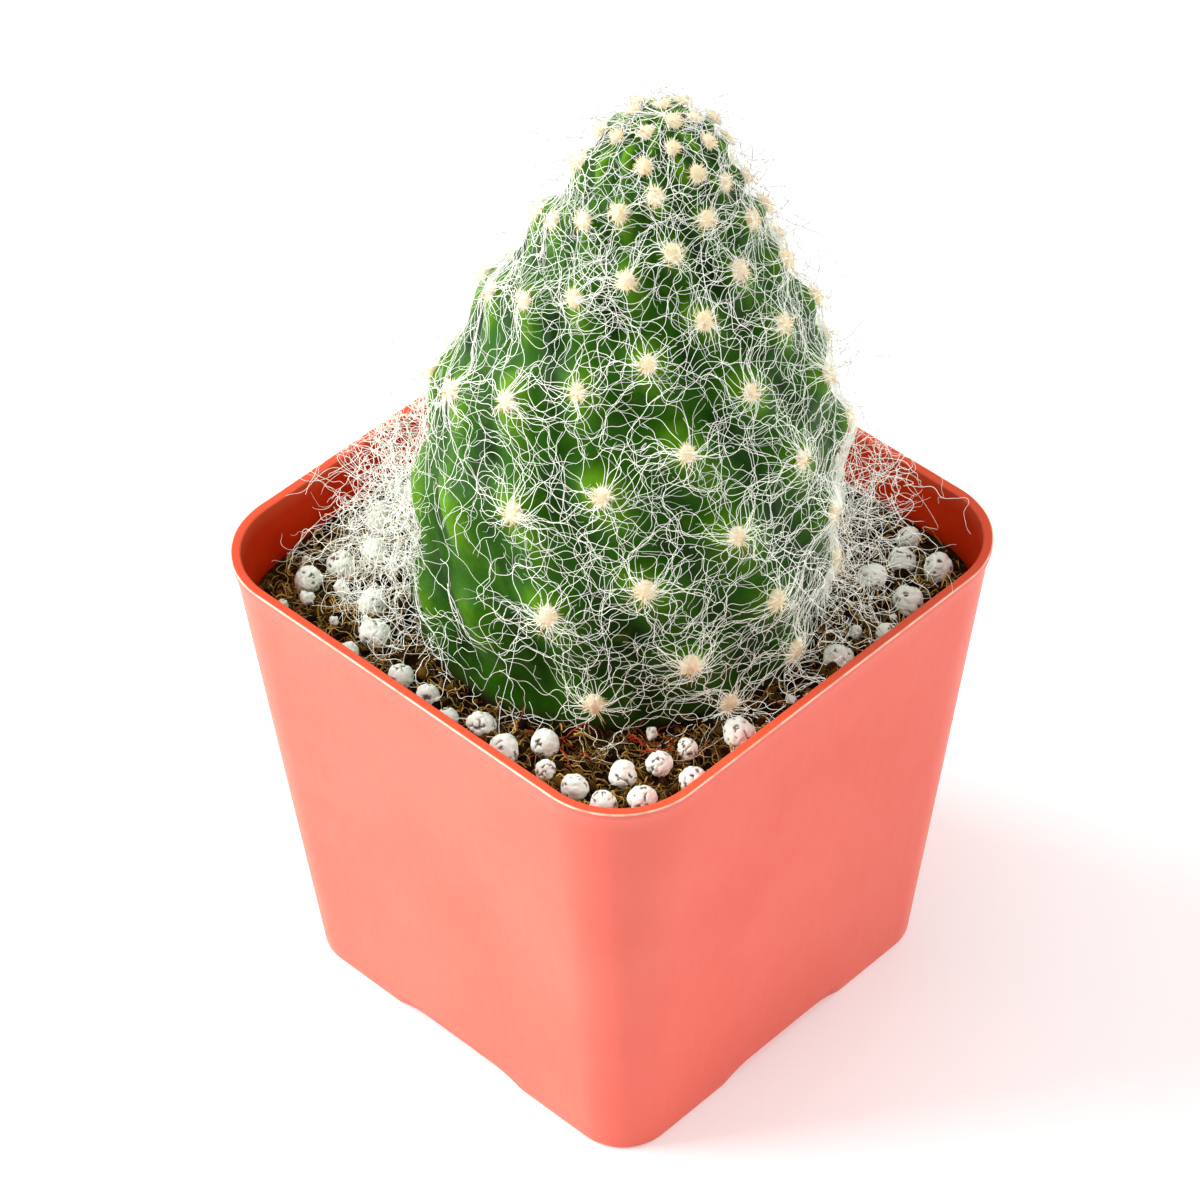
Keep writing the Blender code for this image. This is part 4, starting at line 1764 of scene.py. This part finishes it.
@dataclass
class PerliteBeads:
    """Large round perlite grains, lumpy and pitted, each in place of its CAD node."""

    names: tuple[str, ...]
    facets: int = 5
    pits: int = 12
    lump_depth: float = 0.16
    grain_depth: float = 0.025
    crease_size: float = 0.85
    crease_depth: float = 0.07
    pit_depth: float = 0.12
    seed: int = 41

    def dress(self) -> None:
        """Build every bead."""
        rng = np.random.default_rng(self.seed)
        material = Perlite().material()
        for number, name in enumerate(self.names):
            mesh = self.build(name, number, rng)
            finish_piece(f"{name}_grain", mesh, material, Slot.BEAD, name)

    def build(self, name: str, number: int, rng: Rng) -> bpy.types.Mesh:
        """Model one bead to fill the box of its CAD node.

        Args:
            name: the CAD node.
            number: picks the bead's lumps.
            rng: the random draws.

        Returns:
            The mesh, with the share "pit" stored on it.
        """
        low, high = (np.array(corner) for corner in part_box(name))
        bm = bmesh.new()
        bmesh.ops.create_icosphere(bm, subdivisions=self.facets, radius=1.0)
        mesh = mesh_from(bm)
        ways = get_places(mesh)
        crease = creased(ways, self.crease_size, number * 1.9)
        lumps = (self.lump_depth * cloudy(ways, 1.3, number * 3.1)
                 + self.grain_depth * cloudy(ways, 0.22, number * 2.3) - self.crease_depth * crease)
        rare = np.clip(cloudy(ways, 0.6, number * 2.7) * 5.0 - 0.8, 0.0, 1.0)
        pit = np.clip(crease * 2.6 - 1.6, 0.0, 1.0) * rare
        ragged_edge = 0.9 * cloudy(ways, 0.12, number * 5.3)
        for _ in range(self.pits):
            toward = rng.normal(size=3)
            toward /= np.linalg.norm(toward)
            width = 0.06 + 0.14 * rng.uniform(0.0, 1.0) ** 2
            stretch = rng.uniform(0.35, 1.7, 3)
            away = np.linalg.norm((ways - toward) * stretch, axis=1)
            ragged = 1.4 - away / width + ragged_edge
            pit = np.maximum(pit, np.clip(ragged, 0.0, 1.0))
        places = ways * (1.0 + lumps - self.pit_depth * pit)[:, None]
        span = places.max(axis=0) - places.min(axis=0)
        centred = (places - places.min(axis=0)) / span
        fitted = low + centred * (high - low)
        mesh.vertices.foreach_set("co", fitted.ravel())
        # The pit share darkens the dents: painted shade.
        store(mesh, "pit", np.clip(pit * 1.8 - 0.25, 0.0, 1.0))
        return mesh


# ---------------------------------------------------------------- studio


@dataclass(frozen=True)
class Softbox:
    """One square soft light: its name, its middle, its side in metres and its watts."""

    name: str
    place: tuple[float, float, float]
    size: float
    power: float

    def hang(self, target: Vector) -> None:
        """Hang it so that it faces a place.

        Args:
            target: the place.
        """
        lamp = bpy.data.lights.new(self.name, "AREA")
        lamp.shape, lamp.size, lamp.energy = "SQUARE", self.size, self.power
        item = add_object(self.name, lamp)
        item.location = self.place
        item.rotation_euler = (target - item.location).to_track_quat("-Z", "Y").to_euler()


@dataclass
class Studio:
    """Pale floor, soft lights and the camera."""

    lights: tuple[Softbox, ...] = (
        Softbox("left", (-1.0, -0.75, 0.6), 1.05, 40.0),
        Softbox("right", (0.75, 1.0, 0.6), 0.9, 9.0),
        Softbox("top", (0.0, 0.0, 1.3), 0.9, 7.5),
    )
    target: Vector = field(default_factory=lambda: Vector((-7.99, 6.19, 42.35)) * MM)
    azimuth: float = math.radians(44.35)
    elevation: float = math.radians(43.36)
    roll: float = math.radians(-0.885)
    distance: float = 549.2 * MM
    lens: float = 148.24
    sensor: float = 36.0
    floor_size: float = 6.0
    floor_grey: float = 0.82
    floor_glow: float = 0.28
    ambient: float = 0.2

    def build(self) -> None:
        """Lay the floor, hang the lights and place the camera."""
        self._floor()
        self._world()
        for light in self.lights:
            light.hang(self.target)
        self._camera()
        bpy.context.scene.view_settings.view_transform = "Standard"

    def _floor(self) -> None:
        """A plain pale floor, no part of the object."""
        bm = bmesh.new()
        bmesh.ops.create_grid(bm, x_segments=1, y_segments=1, size=self.floor_size / 2.0)
        tree = ShaderTree("pale_floor", Base_Color=rgba((self.floor_grey,) * 3), Roughness=0.9,
                          Specular_IOR_Level=0.0, Emission_Color=rgba((1.0, 1.0, 1.0)),
                          Emission_Strength=self.floor_glow)
        mesh = mesh_from(bm)
        mesh.materials.append(tree.material)
        add_object("floor", mesh)

    def _world(self) -> None:
        """Even white light from all round."""
        world = bpy.data.worlds.new("studio")
        world.use_nodes = True
        background = world.node_tree.nodes["Background"]
        background.inputs["Color"].default_value = rgba((1.0, 1.0, 1.0))
        background.inputs["Strength"].default_value = self.ambient
        bpy.context.scene.world = world

    def _camera(self) -> None:
        """Place the camera on its bearing round the plant."""
        back = Vector((math.sin(self.azimuth) * math.cos(self.elevation),
                       -math.cos(self.azimuth) * math.cos(self.elevation),
                       math.sin(self.elevation)))
        right = Vector((math.cos(self.azimuth), math.sin(self.azimuth), 0.0))
        axes = Matrix((right, back.cross(right), back)).transposed()
        data = bpy.data.cameras.new("camera")
        data.lens, data.sensor_width = self.lens, self.sensor
        item = add_object("camera", data)
        item.matrix_world = (Matrix.Translation(self.target + back * self.distance)
                             @ (axes @ Matrix.Rotation(self.roll, 3, "Z")).to_4x4())
        bpy.context.scene.camera = item


def main() -> None:
    """Build every sub-assembly around the frame."""
    logging.basicConfig(level=logging.INFO, format="%(message)s")
    Studio().build()
    pot, stem = NurseryPot(), CactusStem()
    pot.dress()
    PottingSoil(pot, stem).dress()
    PerliteBeads(tuple(sorted(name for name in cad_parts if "bead" in name))).dress()
    stem.dress()
    Areoles(stem).dress()
    Wool(stem, pot).dress()


if __name__ == "__main__":
    main()
